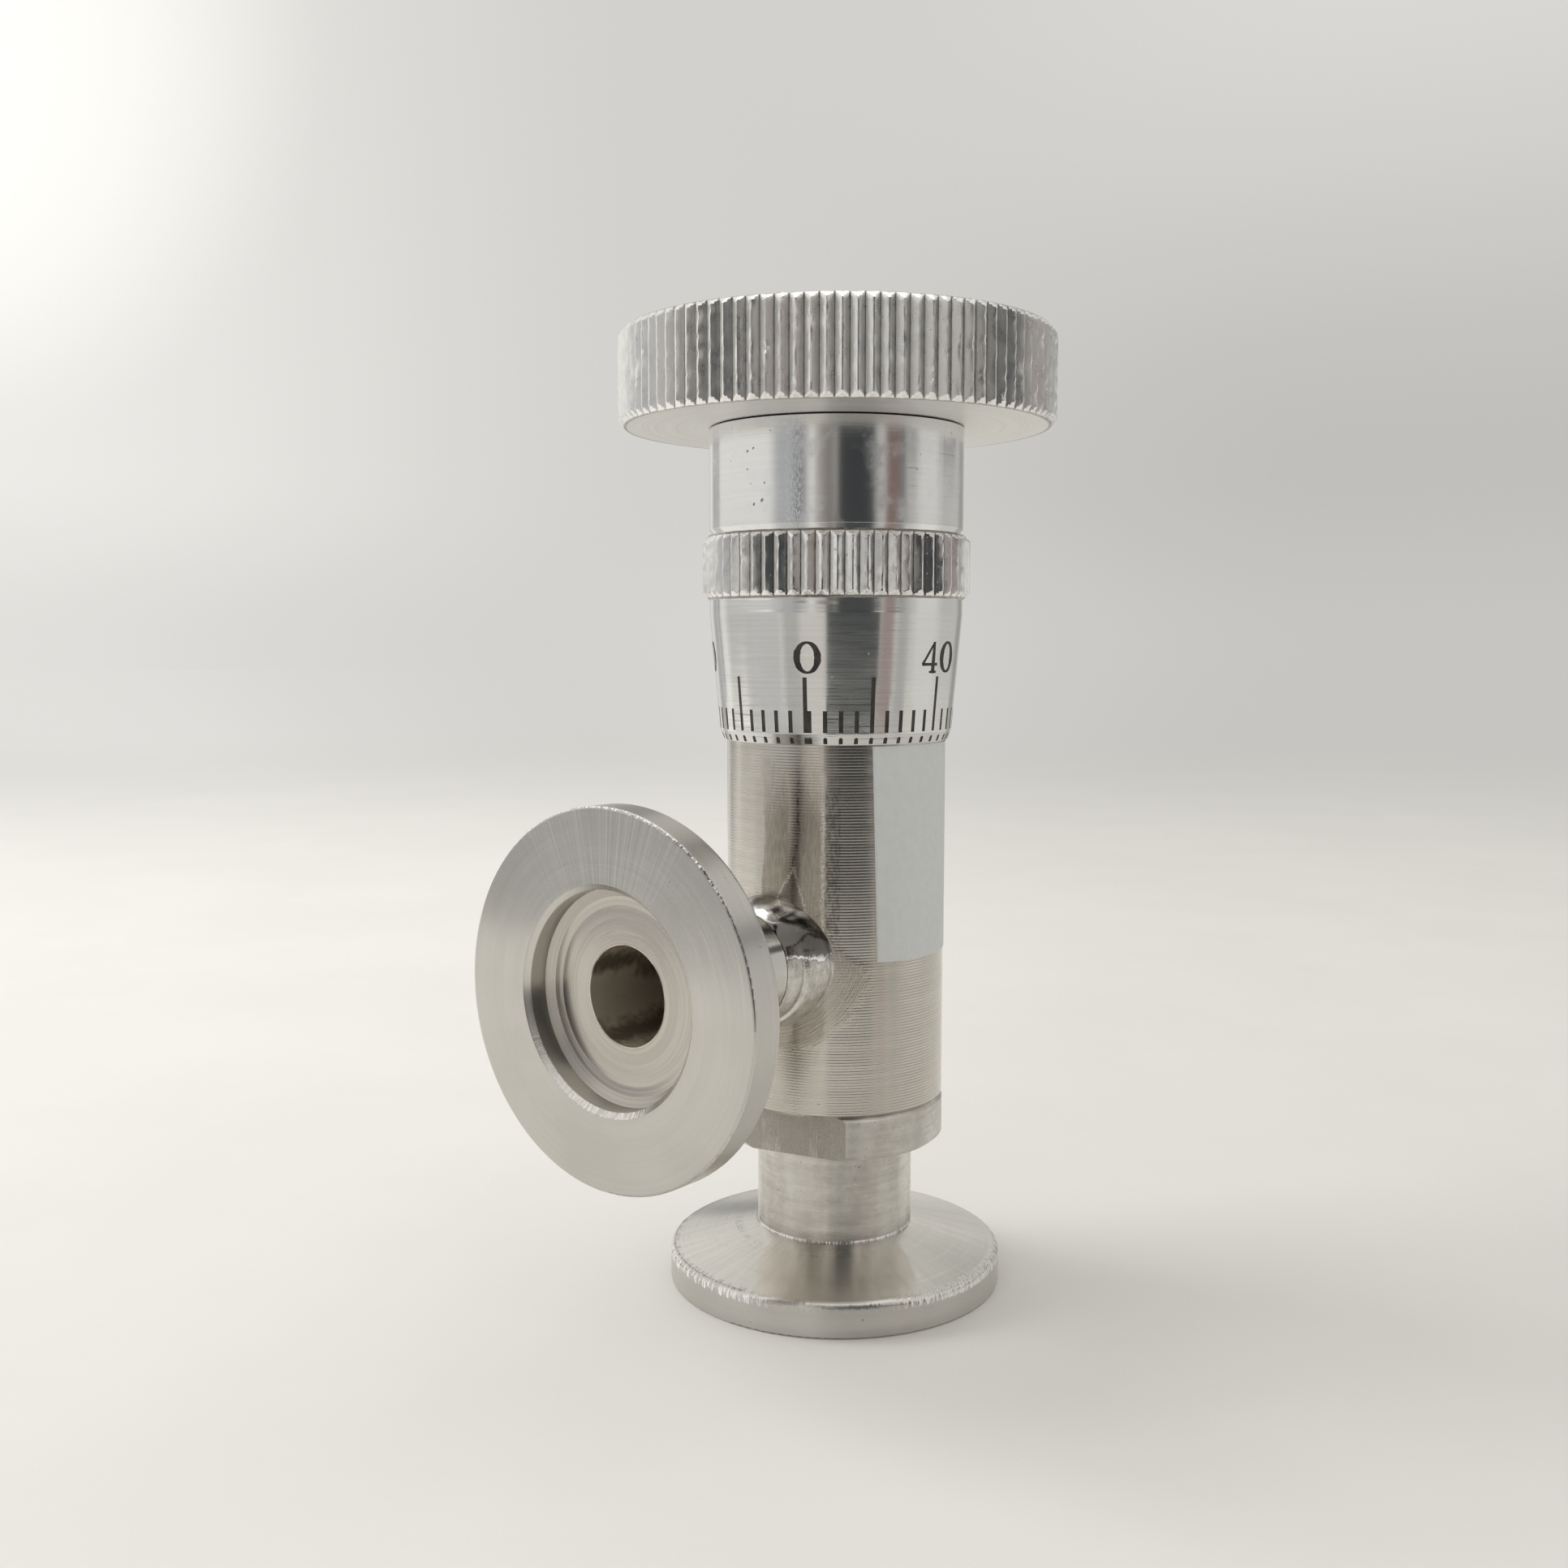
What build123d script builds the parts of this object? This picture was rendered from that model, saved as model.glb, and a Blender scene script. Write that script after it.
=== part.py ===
from build123d import *
import math
import os

# Vacuum needle valve with a graduated screw head, standing on its lower port.
# Millimetres, Z up along the main axis, origin in the middle of the lower sealing face.
# The side port points along -Y. Angles are in degrees about Z, counted from +X.
# Heights ending in _Z are measured from the lower sealing face.

# Clearances
RUN_GAP = 0.03  # radial gap of parts that turn or slide in each other
THREAD_GAP = 0.03  # radial gap left where two threads are shown as plain cylinders
SEAL_GAP = 0.02  # gap between a seal ring and the walls of its groove
WELD_GAP = 0.02  # gap at the root of the weld
PIN_GAP = 0.05  # gap on each side of the cross pin in its guide slots
TOUCH_GAP = 0.01  # gap where two parts only press on each other

# Both vacuum flanges
FLANGE_RADIUS = 15.0
RIM_THICKNESS = 3.0
FLANGE_SLOPE = 15.0
RIM_ROUNDING = 0.6  # edge on the sloping side
FACE_ROUNDING = 0.2  # edge of the sealing face
RECESS_RADIUS = 8.6
RECESS_DEPTH = 2.0
RECESS_CHAMFER = 0.45
DISH_DEPTH = 0.5  # how far the floor of the recess is dished below its corner
DISH_WIDTH = 1.5
PORT_BORE_RADIUS = 4.0

# Inlet fitting, turned in one piece with its flange
NECK_RADIUS = 7.0
COLLAR_Z = 13.4
COLLAR_HEIGHT = 3.8
COLLAR_PROUD = 0.05  # how far the collar stands out from the barrel
COLLAR_CHAMFER = 0.35
FLATS_WIDTH = 17.0
FLATS_ANGLE = -77.5
SPIGOT_RADIUS = 7.97
SPIGOT_LENGTH = 5.7
SPIGOT_LAND = 0.9
SEAT_NIP = 0.1  # how far the seat stands above the spigot, so that it is clamped
INLET_SEAL_WIDTH = 1.05
INLET_SEAL_HEIGHT = 1.4

# Seat and needle
SEAT_RADIUS = 5.9
SEAT_HEIGHT = 3.1
SEAT_THROAT_LENGTH = 1.5
SEAT_MOUTH_RADIUS = 2.0
NEEDLE_TIP_RADIUS = 0.5
NEEDLE_TAPER = 0.1  # growth of the radius for each millimetre of height
NEEDLE_REACH = 3.0  # length of needle tip below the top of the seat
NEEDLE_SHANK_RADIUS = 1.5
NEEDLE_SHANK_LENGTH = 4.0

# Barrel
BARREL_RADIUS = 9.7
BARREL_HEIGHT = 41.4
BARREL_CHAMFER = 0.2
CHAMBER_RADIUS = 5.0
PORT_HEADROOM = 1.55  # from the top of the side bore to the shoulder under the gland
UPPER_BORE_RADIUS = 7.0

# Side port, a short tube turned in one piece with its flange and welded on
SIDE_PORT_REACH = 29.5
STUB_RADIUS = 4.75
STUB_INSET = 1.8  # depth below the face of the barrel where the uncoped tube starts
BEAD_ROOT_WIDTH = 1.0
BEAD_CROWN_WIDTH = 0.75
BEAD_CROWN_LENGTH = 1.2  # from the face of the barrel
BEAD_LENGTH = 3.2

# Gland, its seals, and the needle stem that slides through it
GLAND_HEIGHT = 6.0
STEM_RADIUS = 3.0
STEM_FOOT = 1.0  # length of stem below the gland
STEM_SEAL_WIDTH = 1.0
STEM_SEAL_HEIGHT = 1.2
STEM_SEAL_INSET = 0.9
GLAND_SEAL_WIDTH = 1.05
GLAND_SEAL_HEIGHT = 1.4
SPRING_ROOM = 4.0
WIRE_RADIUS = 0.3
SPRING_RADIUS = 4.5
SPRING_TURNS = 4.5
HEAD_RADIUS = 5.5
HEAD_HEIGHT = 3.0
CROSS_PIN_RADIUS = 0.6
PIN_END_GAP = 0.37  # from each end of the cross pin to the outside of the sleeve
CROSS_PIN_HEIGHT = 1.0  # height of the pin's axis above the underside of the stem head
BALL_RADIUS = 1.5
BALL_SEAT_DEPTH = 1.1
STEM_LIFT = 3.0
SLEEVE_HEADROOM = 0.2

# Screw nut and its locking screw
NUT_LENGTH = 6.4
SPANNER_SLOT_WIDTH = 1.6
SPANNER_SLOT_DEPTH = 1.2
LOCK_SCREW_RADIUS = 1.5
LOCK_SCREW_SINK = 0.4  # depth of its head below the face of the barrel
LOCK_SCREW_DROP = 3.2  # below the top of the barrel
LOCK_SCREW_ANGLE = 112.7
DOG_POINT_RADIUS = 0.9
DOG_POINT_LENGTH = 0.7
LOCK_SOCKET_WIDTH = 1.5

# Micrometer screw
SCREW_RADIUS = 4.0
SCREW_TIP_CHAMFER = 0.6
SCREW_FLANGE_INSET = 1.26  # from the bore of the thimble
SCREW_FLANGE_HEIGHT = 1.5
SCREW_FLANGE_GAP = 0.15
RING_THREAD_RADIUS = 5.5
SHAFT_RADIUS = 4.0
SHAFT_END_GAP = 0.6  # from the end of the shaft to the washer above it
TAPPED_HOLE_DEPTH = 8.0

# Graduated thimble
THIMBLE_OVERLAP = 9.4  # how far it reaches down over the barrel
THIMBLE_GAP = 0.06
THIMBLE_EDGE_WALL = 0.19
BEVEL_HEIGHT = 0.9
CONE_BASE_WALL = 0.54
HUB_WALL = 1.44
HUB_BAND_HEIGHT = 1.29
WEB_THICKNESS = 1.19
TICK_COUNT = 50
TICK_PITCH = 7.31
TICK_WIDTH = 0.36
TICK_DEPTH = 0.12
TICK_FOOT = 0.12  # from the top of the bevel to the lower end of a tick
TICK_SHORT = 1.85
TICK_LONG = 4.65
ZERO_ANGLE = -67.3

# Scale on the barrel, under the thimble when the valve is shut
SCALE_WIDTH = 0.22
SCALE_DEPTH = 0.12
SCALE_TICK_LENGTH = 1.6
SCREW_PITCH = 0.5

# Knurled lock ring, neck sleeve and handwheel
RING_HEIGHT = 5.66
RING_STEP = 0.63  # how far the tips of its teeth stand out from the thimble
RING_CHAMFER = 0.62
RING_KNURL_DEPTH = 0.44
RING_TEETH = 59
RING_PHASE = -68.0
NECK_CHAMFER = 0.45
NECK_HEIGHT = 9.3
HANDWHEEL_HEIGHT = 8.0
HANDWHEEL_RADIUS = 19.15
HANDWHEEL_CHAMFER = 0.52
HANDWHEEL_KNURL_DEPTH = 0.5
HANDWHEEL_TEETH = 100
HANDWHEEL_PHASE = -53.8
KEY_WIDTH = 2.0
KEY_HEIGHT = 2.4
KEY_SINK = 1.2
KEY_FOOT = 1.4  # above the lock ring
KEY_HEADROOM = 0.8  # below the end of the shaft
KEY_ANGLE = 36.7
COUNTERBORE_RADIUS = 4.7
COUNTERBORE_DEPTH = 4.0
WASHER_INSET = 0.3  # from the wall of the counterbore
WASHER_THICKNESS = 0.8
BOLT_RADIUS = 2.0
BOLT_LENGTH = 7.0
BOLT_HEAD_RADIUS = 3.8
BOLT_HEAD_HEIGHT = 2.2
BOLT_SOCKET_WIDTH = 2.5
BOLT_SOCKET_DEPTH = 1.3

# Blank label on the barrel
LABEL_THICKNESS = 0.08
LABEL_HEIGHT = 18.4
LABEL_HALF_SPAN = 65.0
LABEL_LEFT_ANGLE = -33.6
LABEL_SKEW = 0.22  # how far the lower left corner is cut in
LABEL_TOP_GAP = 0.15

# Heights that follow from the sizes above
BARREL_Z = COLLAR_Z + COLLAR_HEIGHT
BARREL_TOP_Z = BARREL_Z + BARREL_HEIGHT
SPIGOT_TOP_Z = BARREL_Z + SPIGOT_LENGTH
SEAT_TOP_Z = SPIGOT_TOP_Z + SEAT_NIP
SEAT_Z = SEAT_TOP_Z - SEAT_HEIGHT
SLEEVE_TOP_Z = BARREL_TOP_Z - NUT_LENGTH
HEAD_TOP_Z = SLEEVE_TOP_Z - SLEEVE_HEADROOM - STEM_LIFT
HEAD_Z = HEAD_TOP_Z - HEAD_HEIGHT
GLAND_TOP_Z = HEAD_Z - SPRING_ROOM
GLAND_Z = GLAND_TOP_Z - GLAND_HEIGHT
SIDE_PORT_Z = GLAND_Z - PORT_HEADROOM - PORT_BORE_RADIUS
STEM_Z = GLAND_Z - STEM_FOOT
NEEDLE_TIP_Z = SEAT_TOP_Z - NEEDLE_REACH
BALL_Z = HEAD_TOP_Z - BALL_SEAT_DEPTH + BALL_RADIUS
SCREW_TIP_Z = BALL_Z + BALL_RADIUS + TOUCH_GAP
LOCK_SCREW_Z = BARREL_TOP_Z - LOCK_SCREW_DROP
SCREW_FLANGE_Z = BARREL_TOP_Z + SCREW_FLANGE_GAP
WEB_Z = SCREW_FLANGE_Z + SCREW_FLANGE_HEIGHT
THIMBLE_Z = BARREL_TOP_Z - THIMBLE_OVERLAP
BEVEL_TOP_Z = THIMBLE_Z + BEVEL_HEIGHT
THIMBLE_TOP_Z = WEB_Z + WEB_THICKNESS
CONE_TOP_Z = THIMBLE_TOP_Z - HUB_BAND_HEIGHT
RING_TOP_Z = THIMBLE_TOP_Z + RING_HEIGHT
HANDWHEEL_Z = RING_TOP_Z + NECK_HEIGHT
HANDWHEEL_TOP_Z = HANDWHEEL_Z + HANDWHEEL_HEIGHT
COUNTERBORE_Z = HANDWHEEL_TOP_Z - COUNTERBORE_DEPTH
SHAFT_TOP_Z = COUNTERBORE_Z - SHAFT_END_GAP
BOLT_SEAT_Z = COUNTERBORE_Z + WASHER_THICKNESS
KEY_Z = RING_TOP_Z + KEY_FOOT

# Radii and lengths that follow from them
COLLAR_RADIUS = BARREL_RADIUS + COLLAR_PROUD
INSERT_RADIUS = UPPER_BORE_RADIUS - RUN_GAP
CROSS_PIN_LENGTH = 2 * (INSERT_RADIUS - PIN_END_GAP)
LOCK_SCREW_LENGTH = BARREL_RADIUS - UPPER_BORE_RADIUS - LOCK_SCREW_SINK
STUB_ROOT = BARREL_RADIUS - STUB_INSET
THIMBLE_BORE = BARREL_RADIUS + THIMBLE_GAP
CONE_BASE_RADIUS = THIMBLE_BORE + CONE_BASE_WALL
HUB_RADIUS = THIMBLE_BORE + HUB_WALL
RING_TIP_RADIUS = HUB_RADIUS + RING_STEP
SCREW_FLANGE_RADIUS = THIMBLE_BORE - SCREW_FLANGE_INSET
KEY_LENGTH = SHAFT_TOP_Z - KEY_HEADROOM - KEY_Z
SIDE_FRAME = Plane(origin=(0, 0, SIDE_PORT_Z), x_dir=(1, 0, 0), z_dir=(0, -1, 0))


def turned(points):
    """Solid swept about Z by a closed outline of (radius, height) points."""
    return revolve(Plane.XZ * make_face(Polyline(*points, close=True)), Axis.Z)


def tube(inner, outer, bottom, top):
    """Plain ring between two radii and two heights."""
    return turned([(inner, bottom), (outer, bottom), (outer, top), (inner, top)])


def rod_along(angle, height, radius, start, end):
    """Round rod that points away from the main axis at one angle and height."""
    frame = Plane(origin=(0, 0, height), x_dir=(0, 0, 1), z_dir=direction(angle))
    return frame * Pos(0, 0, start) * Cylinder(radius, end - start, align=ON_BASE)


def direction(angle):
    """Unit vector square to Z at an angle counted from +X."""
    return (math.cos(math.radians(angle)), math.sin(math.radians(angle)), 0)


ON_BASE = (Align.CENTER, Align.CENTER, Align.MIN)
FROM_AXIS = (Align.MIN, Align.CENTER, Align.MIN)


def seal_ring(inner, outer, bottom, top):
    """Rubber ring squeezed to an oval in its groove, clear of all four walls."""
    width = (outer - inner) / 2 - SEAL_GAP
    height = (top - bottom) / 2 - SEAL_GAP
    section = Pos((inner + outer) / 2, (bottom + top) / 2) * Ellipse(width, height)
    return revolve(Plane.XZ * section, Axis.Z)


def flange_outline(hub_radius):
    """Section of a vacuum flange from its bore to its hub, measured from the sealing face."""
    cone = (FLANGE_RADIUS - hub_radius) * math.tan(math.radians(FLANGE_SLOPE))
    floor = RECESS_DEPTH + DISH_DEPTH
    return [
        (PORT_BORE_RADIUS, floor),
        (RECESS_RADIUS - DISH_WIDTH, floor),
        (RECESS_RADIUS - DISH_WIDTH / 2, floor - DISH_DEPTH / 5),
        (RECESS_RADIUS, RECESS_DEPTH),
        (RECESS_RADIUS, RECESS_CHAMFER),
        (RECESS_RADIUS + RECESS_CHAMFER, 0),
        (FLANGE_RADIUS, 0),
        (FLANGE_RADIUS, RIM_THICKNESS),
        (hub_radius, RIM_THICKNESS + cone),
    ]


def round_rim(part, inward):
    """Round both edges of the flange rim; the axis points from the sealing face inward."""
    for order, rounding in ((0, FACE_ROUNDING), (-1, RIM_ROUNDING)):
        circles = part.edges().filter_by(GeomType.CIRCLE).sort_by(inward)
        rim = circles.filter_by(lambda edge: abs(edge.radius - FLANGE_RADIUS) < 0.001)
        part = fillet(rim[order], rounding)
    return part


def knurled(tip_radius, depth, teeth, phase, bottom, top, chamfer, bore):
    """Bored disc with straight V teeth, its ends bevelled past the root of the teeth."""
    pitch = 360 / teeth
    outline = []
    for tooth in range(teeth):
        root = math.radians(phase + pitch * tooth)
        tip = root + math.radians(pitch / 2)
        inner = tip_radius - depth
        outline.append((inner * math.cos(root), inner * math.sin(root)))
        outline.append((tip_radius * math.cos(tip), tip_radius * math.sin(tip)))
    face = Plane.XY.offset(bottom) * make_face(Polyline(*outline, close=True))
    prism = extrude(face, amount=top - bottom)
    blank = turned([
        (bore, bottom),
        (tip_radius - chamfer, bottom),
        (tip_radius, bottom + chamfer),
        (tip_radius, top - chamfer),
        (tip_radius - chamfer, top),
        (bore, top),
    ])
    return prism & blank


def inlet_fitting():
    """Lower flange, neck, flatted collar and threaded spigot, turned in one piece."""
    groove_top = SPIGOT_TOP_Z - SPIGOT_LAND
    groove_base = groove_top - INLET_SEAL_HEIGHT
    groove_radius = SPIGOT_RADIUS - INLET_SEAL_WIDTH
    collar_top = COLLAR_Z + COLLAR_HEIGHT
    part = turned(flange_outline(NECK_RADIUS) + [
        (NECK_RADIUS, COLLAR_Z),
        (COLLAR_RADIUS - COLLAR_CHAMFER, COLLAR_Z),
        (COLLAR_RADIUS, COLLAR_Z + COLLAR_CHAMFER),
        (COLLAR_RADIUS, collar_top - COLLAR_CHAMFER),
        (COLLAR_RADIUS - COLLAR_CHAMFER, collar_top),
        (SPIGOT_RADIUS, collar_top),
        (SPIGOT_RADIUS, groove_base),
        (groove_radius, groove_base),
        (groove_radius, groove_top),
        (SPIGOT_RADIUS, groove_top),
        (SPIGOT_RADIUS, SPIGOT_TOP_Z),
        (SEAT_RADIUS + RUN_GAP, SPIGOT_TOP_Z),
        (SEAT_RADIUS + RUN_GAP, SEAT_Z),
        (PORT_BORE_RADIUS, SEAT_Z),
    ])
    part = round_rim(part, Axis.Z)
    side = Pos(FLATS_WIDTH / 2, 0, COLLAR_Z)
    waste = side * Box(FLATS_WIDTH, 3 * FLATS_WIDTH, COLLAR_HEIGHT, align=FROM_AXIS)
    for turn in (FLATS_ANGLE, FLATS_ANGLE + 180):
        part -= Rot(0, 0, turn) * waste
    return part


def inlet_seal():
    """Rubber ring in the groove of the spigot."""
    top = SPIGOT_TOP_Z - SPIGOT_LAND
    bore = SPIGOT_RADIUS + THREAD_GAP
    return seal_ring(SPIGOT_RADIUS - INLET_SEAL_WIDTH, bore, top - INLET_SEAL_HEIGHT, top)


def needle_radius(height):
    """Radius of the needle's cone at one height."""
    return NEEDLE_TIP_RADIUS + NEEDLE_TAPER * (height - NEEDLE_TIP_Z)


def valve_seat():
    """Soft disc whose throat has the needle's own taper."""
    throat_z = SEAT_TOP_Z - SEAT_THROAT_LENGTH
    return turned([
        (SEAT_MOUTH_RADIUS, SEAT_Z),
        (SEAT_RADIUS, SEAT_Z),
        (SEAT_RADIUS, SEAT_TOP_Z),
        (needle_radius(SEAT_TOP_Z) + RUN_GAP, SEAT_TOP_Z),
        (needle_radius(throat_z) + RUN_GAP, throat_z),
        (SEAT_MOUTH_RADIUS, throat_z),
    ])


def needle():
    """Long tapered needle with a shank pressed into the stem."""
    return turned([
        (0, NEEDLE_TIP_Z),
        (NEEDLE_TIP_RADIUS, NEEDLE_TIP_Z),
        (needle_radius(STEM_Z), STEM_Z),
        (NEEDLE_SHANK_RADIUS, STEM_Z),
        (NEEDLE_SHANK_RADIUS, STEM_Z + NEEDLE_SHANK_LENGTH),
        (0, STEM_Z + NEEDLE_SHANK_LENGTH),
    ])


def barrel_scale():
    """Grooves of the index line and of one mark for each turn of the handwheel."""
    turns = round(STEM_LIFT / SCREW_PITCH)
    outer = BARREL_RADIUS - SCALE_DEPTH
    length = (turns + 1) * SCREW_PITCH
    line = Box(1, SCALE_WIDTH, length, align=FROM_AXIS)
    cutters = [Pos(outer, 0, THIMBLE_Z + SCALE_WIDTH) * line]
    for turn in range(1, turns + 1):
        mark = Box(1, SCALE_TICK_LENGTH, SCALE_WIDTH, align=FROM_AXIS)
        side = SCALE_TICK_LENGTH / 2
        cutters.append(Pos(outer, side, THIMBLE_Z + turn * SCREW_PITCH) * mark)
    return [Rot(0, 0, ZERO_ANGLE) * cutter for cutter in cutters]


def valve_barrel():
    """Stainless body tube with its gas chamber, side bore and seat shoulder."""
    part = turned([
        (SPIGOT_RADIUS + THREAD_GAP, BARREL_Z),
        (BARREL_RADIUS - BARREL_CHAMFER, BARREL_Z),
        (BARREL_RADIUS, BARREL_Z + BARREL_CHAMFER),
        (BARREL_RADIUS, BARREL_TOP_Z - BARREL_CHAMFER),
        (BARREL_RADIUS - BARREL_CHAMFER, BARREL_TOP_Z),
        (UPPER_BORE_RADIUS, BARREL_TOP_Z),
        (UPPER_BORE_RADIUS, GLAND_Z),
        (CHAMBER_RADIUS, GLAND_Z),
        (CHAMBER_RADIUS, SEAT_TOP_Z),
        (SPIGOT_RADIUS + THREAD_GAP, SEAT_TOP_Z),
    ])
    part -= SIDE_FRAME * Cylinder(PORT_BORE_RADIUS, 2 * BARREL_RADIUS, align=ON_BASE)
    hole = LOCK_SCREW_RADIUS + THREAD_GAP
    part -= rod_along(LOCK_SCREW_ANGLE, LOCK_SCREW_Z, hole, 1, 2 * BARREL_RADIUS)
    return part - barrel_scale()


def barrel_blank(gap):
    """Plain cylinder used to cope what is welded to the barrel."""
    radius = BARREL_RADIUS + gap
    return Pos(0, 0, BARREL_Z) * Cylinder(radius, BARREL_HEIGHT, align=ON_BASE)


def side_port():
    """Side flange and its stub tube in one piece, coped to the barrel."""
    outline = [(radius, SIDE_PORT_REACH - reach) for radius, reach in flange_outline(STUB_RADIUS)]
    outline += [(STUB_RADIUS, STUB_ROOT), (PORT_BORE_RADIUS, STUB_ROOT)]
    part = round_rim(SIDE_FRAME * turned(outline), Axis.Y)
    return part - barrel_blank(WELD_GAP)


def weld_bead():
    """Ground weld round the stub tube, following the saddle of the barrel."""
    inner = STUB_RADIUS + WELD_GAP
    root = (STUB_RADIUS + BEAD_ROOT_WIDTH, STUB_ROOT)
    middle = (STUB_RADIUS + BEAD_CROWN_WIDTH, BARREL_RADIUS + BEAD_CROWN_LENGTH)
    toe = (inner, BARREL_RADIUS + BEAD_LENGTH)
    crown = ThreePointArc(root, middle, toe)
    foot = Polyline(toe, (inner, STUB_ROOT), root)
    section = Plane.XZ * make_face([crown, foot])
    return SIDE_FRAME * revolve(section, Axis.Z) - barrel_blank(WELD_GAP)


def stem_seal_bands():
    """Bottom and top of each of the two grooves inside the gland."""
    lower = GLAND_Z + STEM_SEAL_INSET
    upper = GLAND_TOP_Z - STEM_SEAL_INSET - STEM_SEAL_HEIGHT
    return [(base, base + STEM_SEAL_HEIGHT) for base in (lower, upper)]


def gland_seal_band():
    """Bottom and top of the groove round the gland."""
    middle = (GLAND_Z + GLAND_TOP_Z) / 2
    return middle - GLAND_SEAL_HEIGHT / 2, middle + GLAND_SEAL_HEIGHT / 2


def stem_gland():
    """Bush that guides the stem and carries its seals."""
    part = tube(STEM_RADIUS + RUN_GAP, INSERT_RADIUS, GLAND_Z, GLAND_TOP_Z)
    for bottom, top in stem_seal_bands():
        part -= tube(STEM_RADIUS, STEM_RADIUS + RUN_GAP + STEM_SEAL_WIDTH, bottom, top)
    bottom, top = gland_seal_band()
    return part - tube(INSERT_RADIUS - GLAND_SEAL_WIDTH, UPPER_BORE_RADIUS, bottom, top)


def stem_seals():
    """The two rubber rings that the stem slides through."""
    outer = STEM_RADIUS + RUN_GAP + STEM_SEAL_WIDTH
    return [seal_ring(STEM_RADIUS, outer, bottom, top) for bottom, top in stem_seal_bands()]


def gland_seal():
    """Rubber ring between the gland and the barrel."""
    bottom, top = gland_seal_band()
    return seal_ring(INSERT_RADIUS - GLAND_SEAL_WIDTH, UPPER_BORE_RADIUS, bottom, top)


def cross_pin_rod(radius, length):
    """Rod across the stem head at the height of the cross pin."""
    rod = Cylinder(radius, length)
    return Pos(0, 0, HEAD_Z + CROSS_PIN_HEIGHT) * Rot(0, 90, 0) * rod


def needle_stem():
    """Sliding stem with its head, needle bore, pin hole and ball seat."""
    bore_top = STEM_Z + NEEDLE_SHANK_LENGTH + TOUCH_GAP
    part = turned([
        (NEEDLE_SHANK_RADIUS + TOUCH_GAP, STEM_Z),
        (STEM_RADIUS, STEM_Z),
        (STEM_RADIUS, HEAD_Z),
        (HEAD_RADIUS, HEAD_Z),
        (HEAD_RADIUS, HEAD_TOP_Z),
        (0, HEAD_TOP_Z),
        (0, bore_top),
        (NEEDLE_SHANK_RADIUS + TOUCH_GAP, bore_top),
    ])
    part -= cross_pin_rod(CROSS_PIN_RADIUS + TOUCH_GAP, 3 * HEAD_RADIUS)
    return part - Pos(0, 0, BALL_Z) * Sphere(BALL_RADIUS + TOUCH_GAP)


def return_spring():
    """Coil that lifts the stem as the screw is turned out."""
    height = SPRING_ROOM - 2 * WIRE_RADIUS - 2 * TOUCH_GAP
    path = Helix(height / SPRING_TURNS, height, SPRING_RADIUS)
    section = Plane(origin=path @ 0, z_dir=path % 0) * Circle(WIRE_RADIUS)
    coil = sweep(section, path=path, is_frenet=True)
    return Pos(0, 0, GLAND_TOP_Z + WIRE_RADIUS + TOUCH_GAP) * coil


def spring_sleeve():
    """Spacer between gland and nut, slotted to keep the stem from turning."""
    inner = HEAD_RADIUS + 2 * RUN_GAP
    part = tube(inner, INSERT_RADIUS, GLAND_TOP_Z, SLEEVE_TOP_Z)
    width = 2 * (CROSS_PIN_RADIUS + PIN_GAP)
    base = HEAD_Z + CROSS_PIN_HEIGHT - width / 2
    slot = Box(3 * UPPER_BORE_RADIUS, width, SLEEVE_TOP_Z - base, align=ON_BASE)
    return part - Pos(0, 0, base) * slot


def screw_nut():
    """Threaded bush that the micrometer screw runs in, with two spanner slots."""
    part = tube(SCREW_RADIUS + THREAD_GAP, INSERT_RADIUS, SLEEVE_TOP_Z, BARREL_TOP_Z)
    slot = Box(3 * UPPER_BORE_RADIUS, SPANNER_SLOT_WIDTH, SPANNER_SLOT_DEPTH, align=ON_BASE)
    part -= Pos(0, 0, BARREL_TOP_Z - SPANNER_SLOT_DEPTH) * slot
    start = INSERT_RADIUS - DOG_POINT_LENGTH - TOUCH_GAP
    radius = DOG_POINT_RADIUS + TOUCH_GAP
    return part - rod_along(LOCK_SCREW_ANGLE, LOCK_SCREW_Z, radius, start, UPPER_BORE_RADIUS + 1)


def socket(width, depth, top):
    """Six-sided wrench socket sunk from a height downward."""
    face = Plane.XY.offset(top - depth) * RegularPolygon(width / 2, 6, major_radius=False)
    return extrude(face, amount=depth)


def lock_screw():
    """Grub screw with a dog point that keeps the nut from turning."""
    root = UPPER_BORE_RADIUS
    screw = Cylinder(LOCK_SCREW_RADIUS, LOCK_SCREW_LENGTH, align=ON_BASE)
    point = Cylinder(DOG_POINT_RADIUS, DOG_POINT_LENGTH + TOUCH_GAP, align=ON_BASE)
    part = screw + Pos(0, 0, -DOG_POINT_LENGTH) * point
    part -= socket(LOCK_SOCKET_WIDTH, LOCK_SCREW_LENGTH / 2, LOCK_SCREW_LENGTH)
    frame = Plane(
        origin=(0, 0, LOCK_SCREW_Z), x_dir=(0, 0, 1), z_dir=direction(LOCK_SCREW_ANGLE)
    )
    return frame * Pos(0, 0, root) * part


def key_block(gap, overrun):
    """Block for the drive key, or for its keyways when a gap is given."""
    width = KEY_WIDTH + 2 * gap
    block = Box(KEY_HEIGHT + gap, width, KEY_LENGTH + overrun, align=FROM_AXIS)
    return Rot(0, 0, KEY_ANGLE) * Pos(SHAFT_RADIUS - KEY_SINK, 0, KEY_Z) * block


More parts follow.
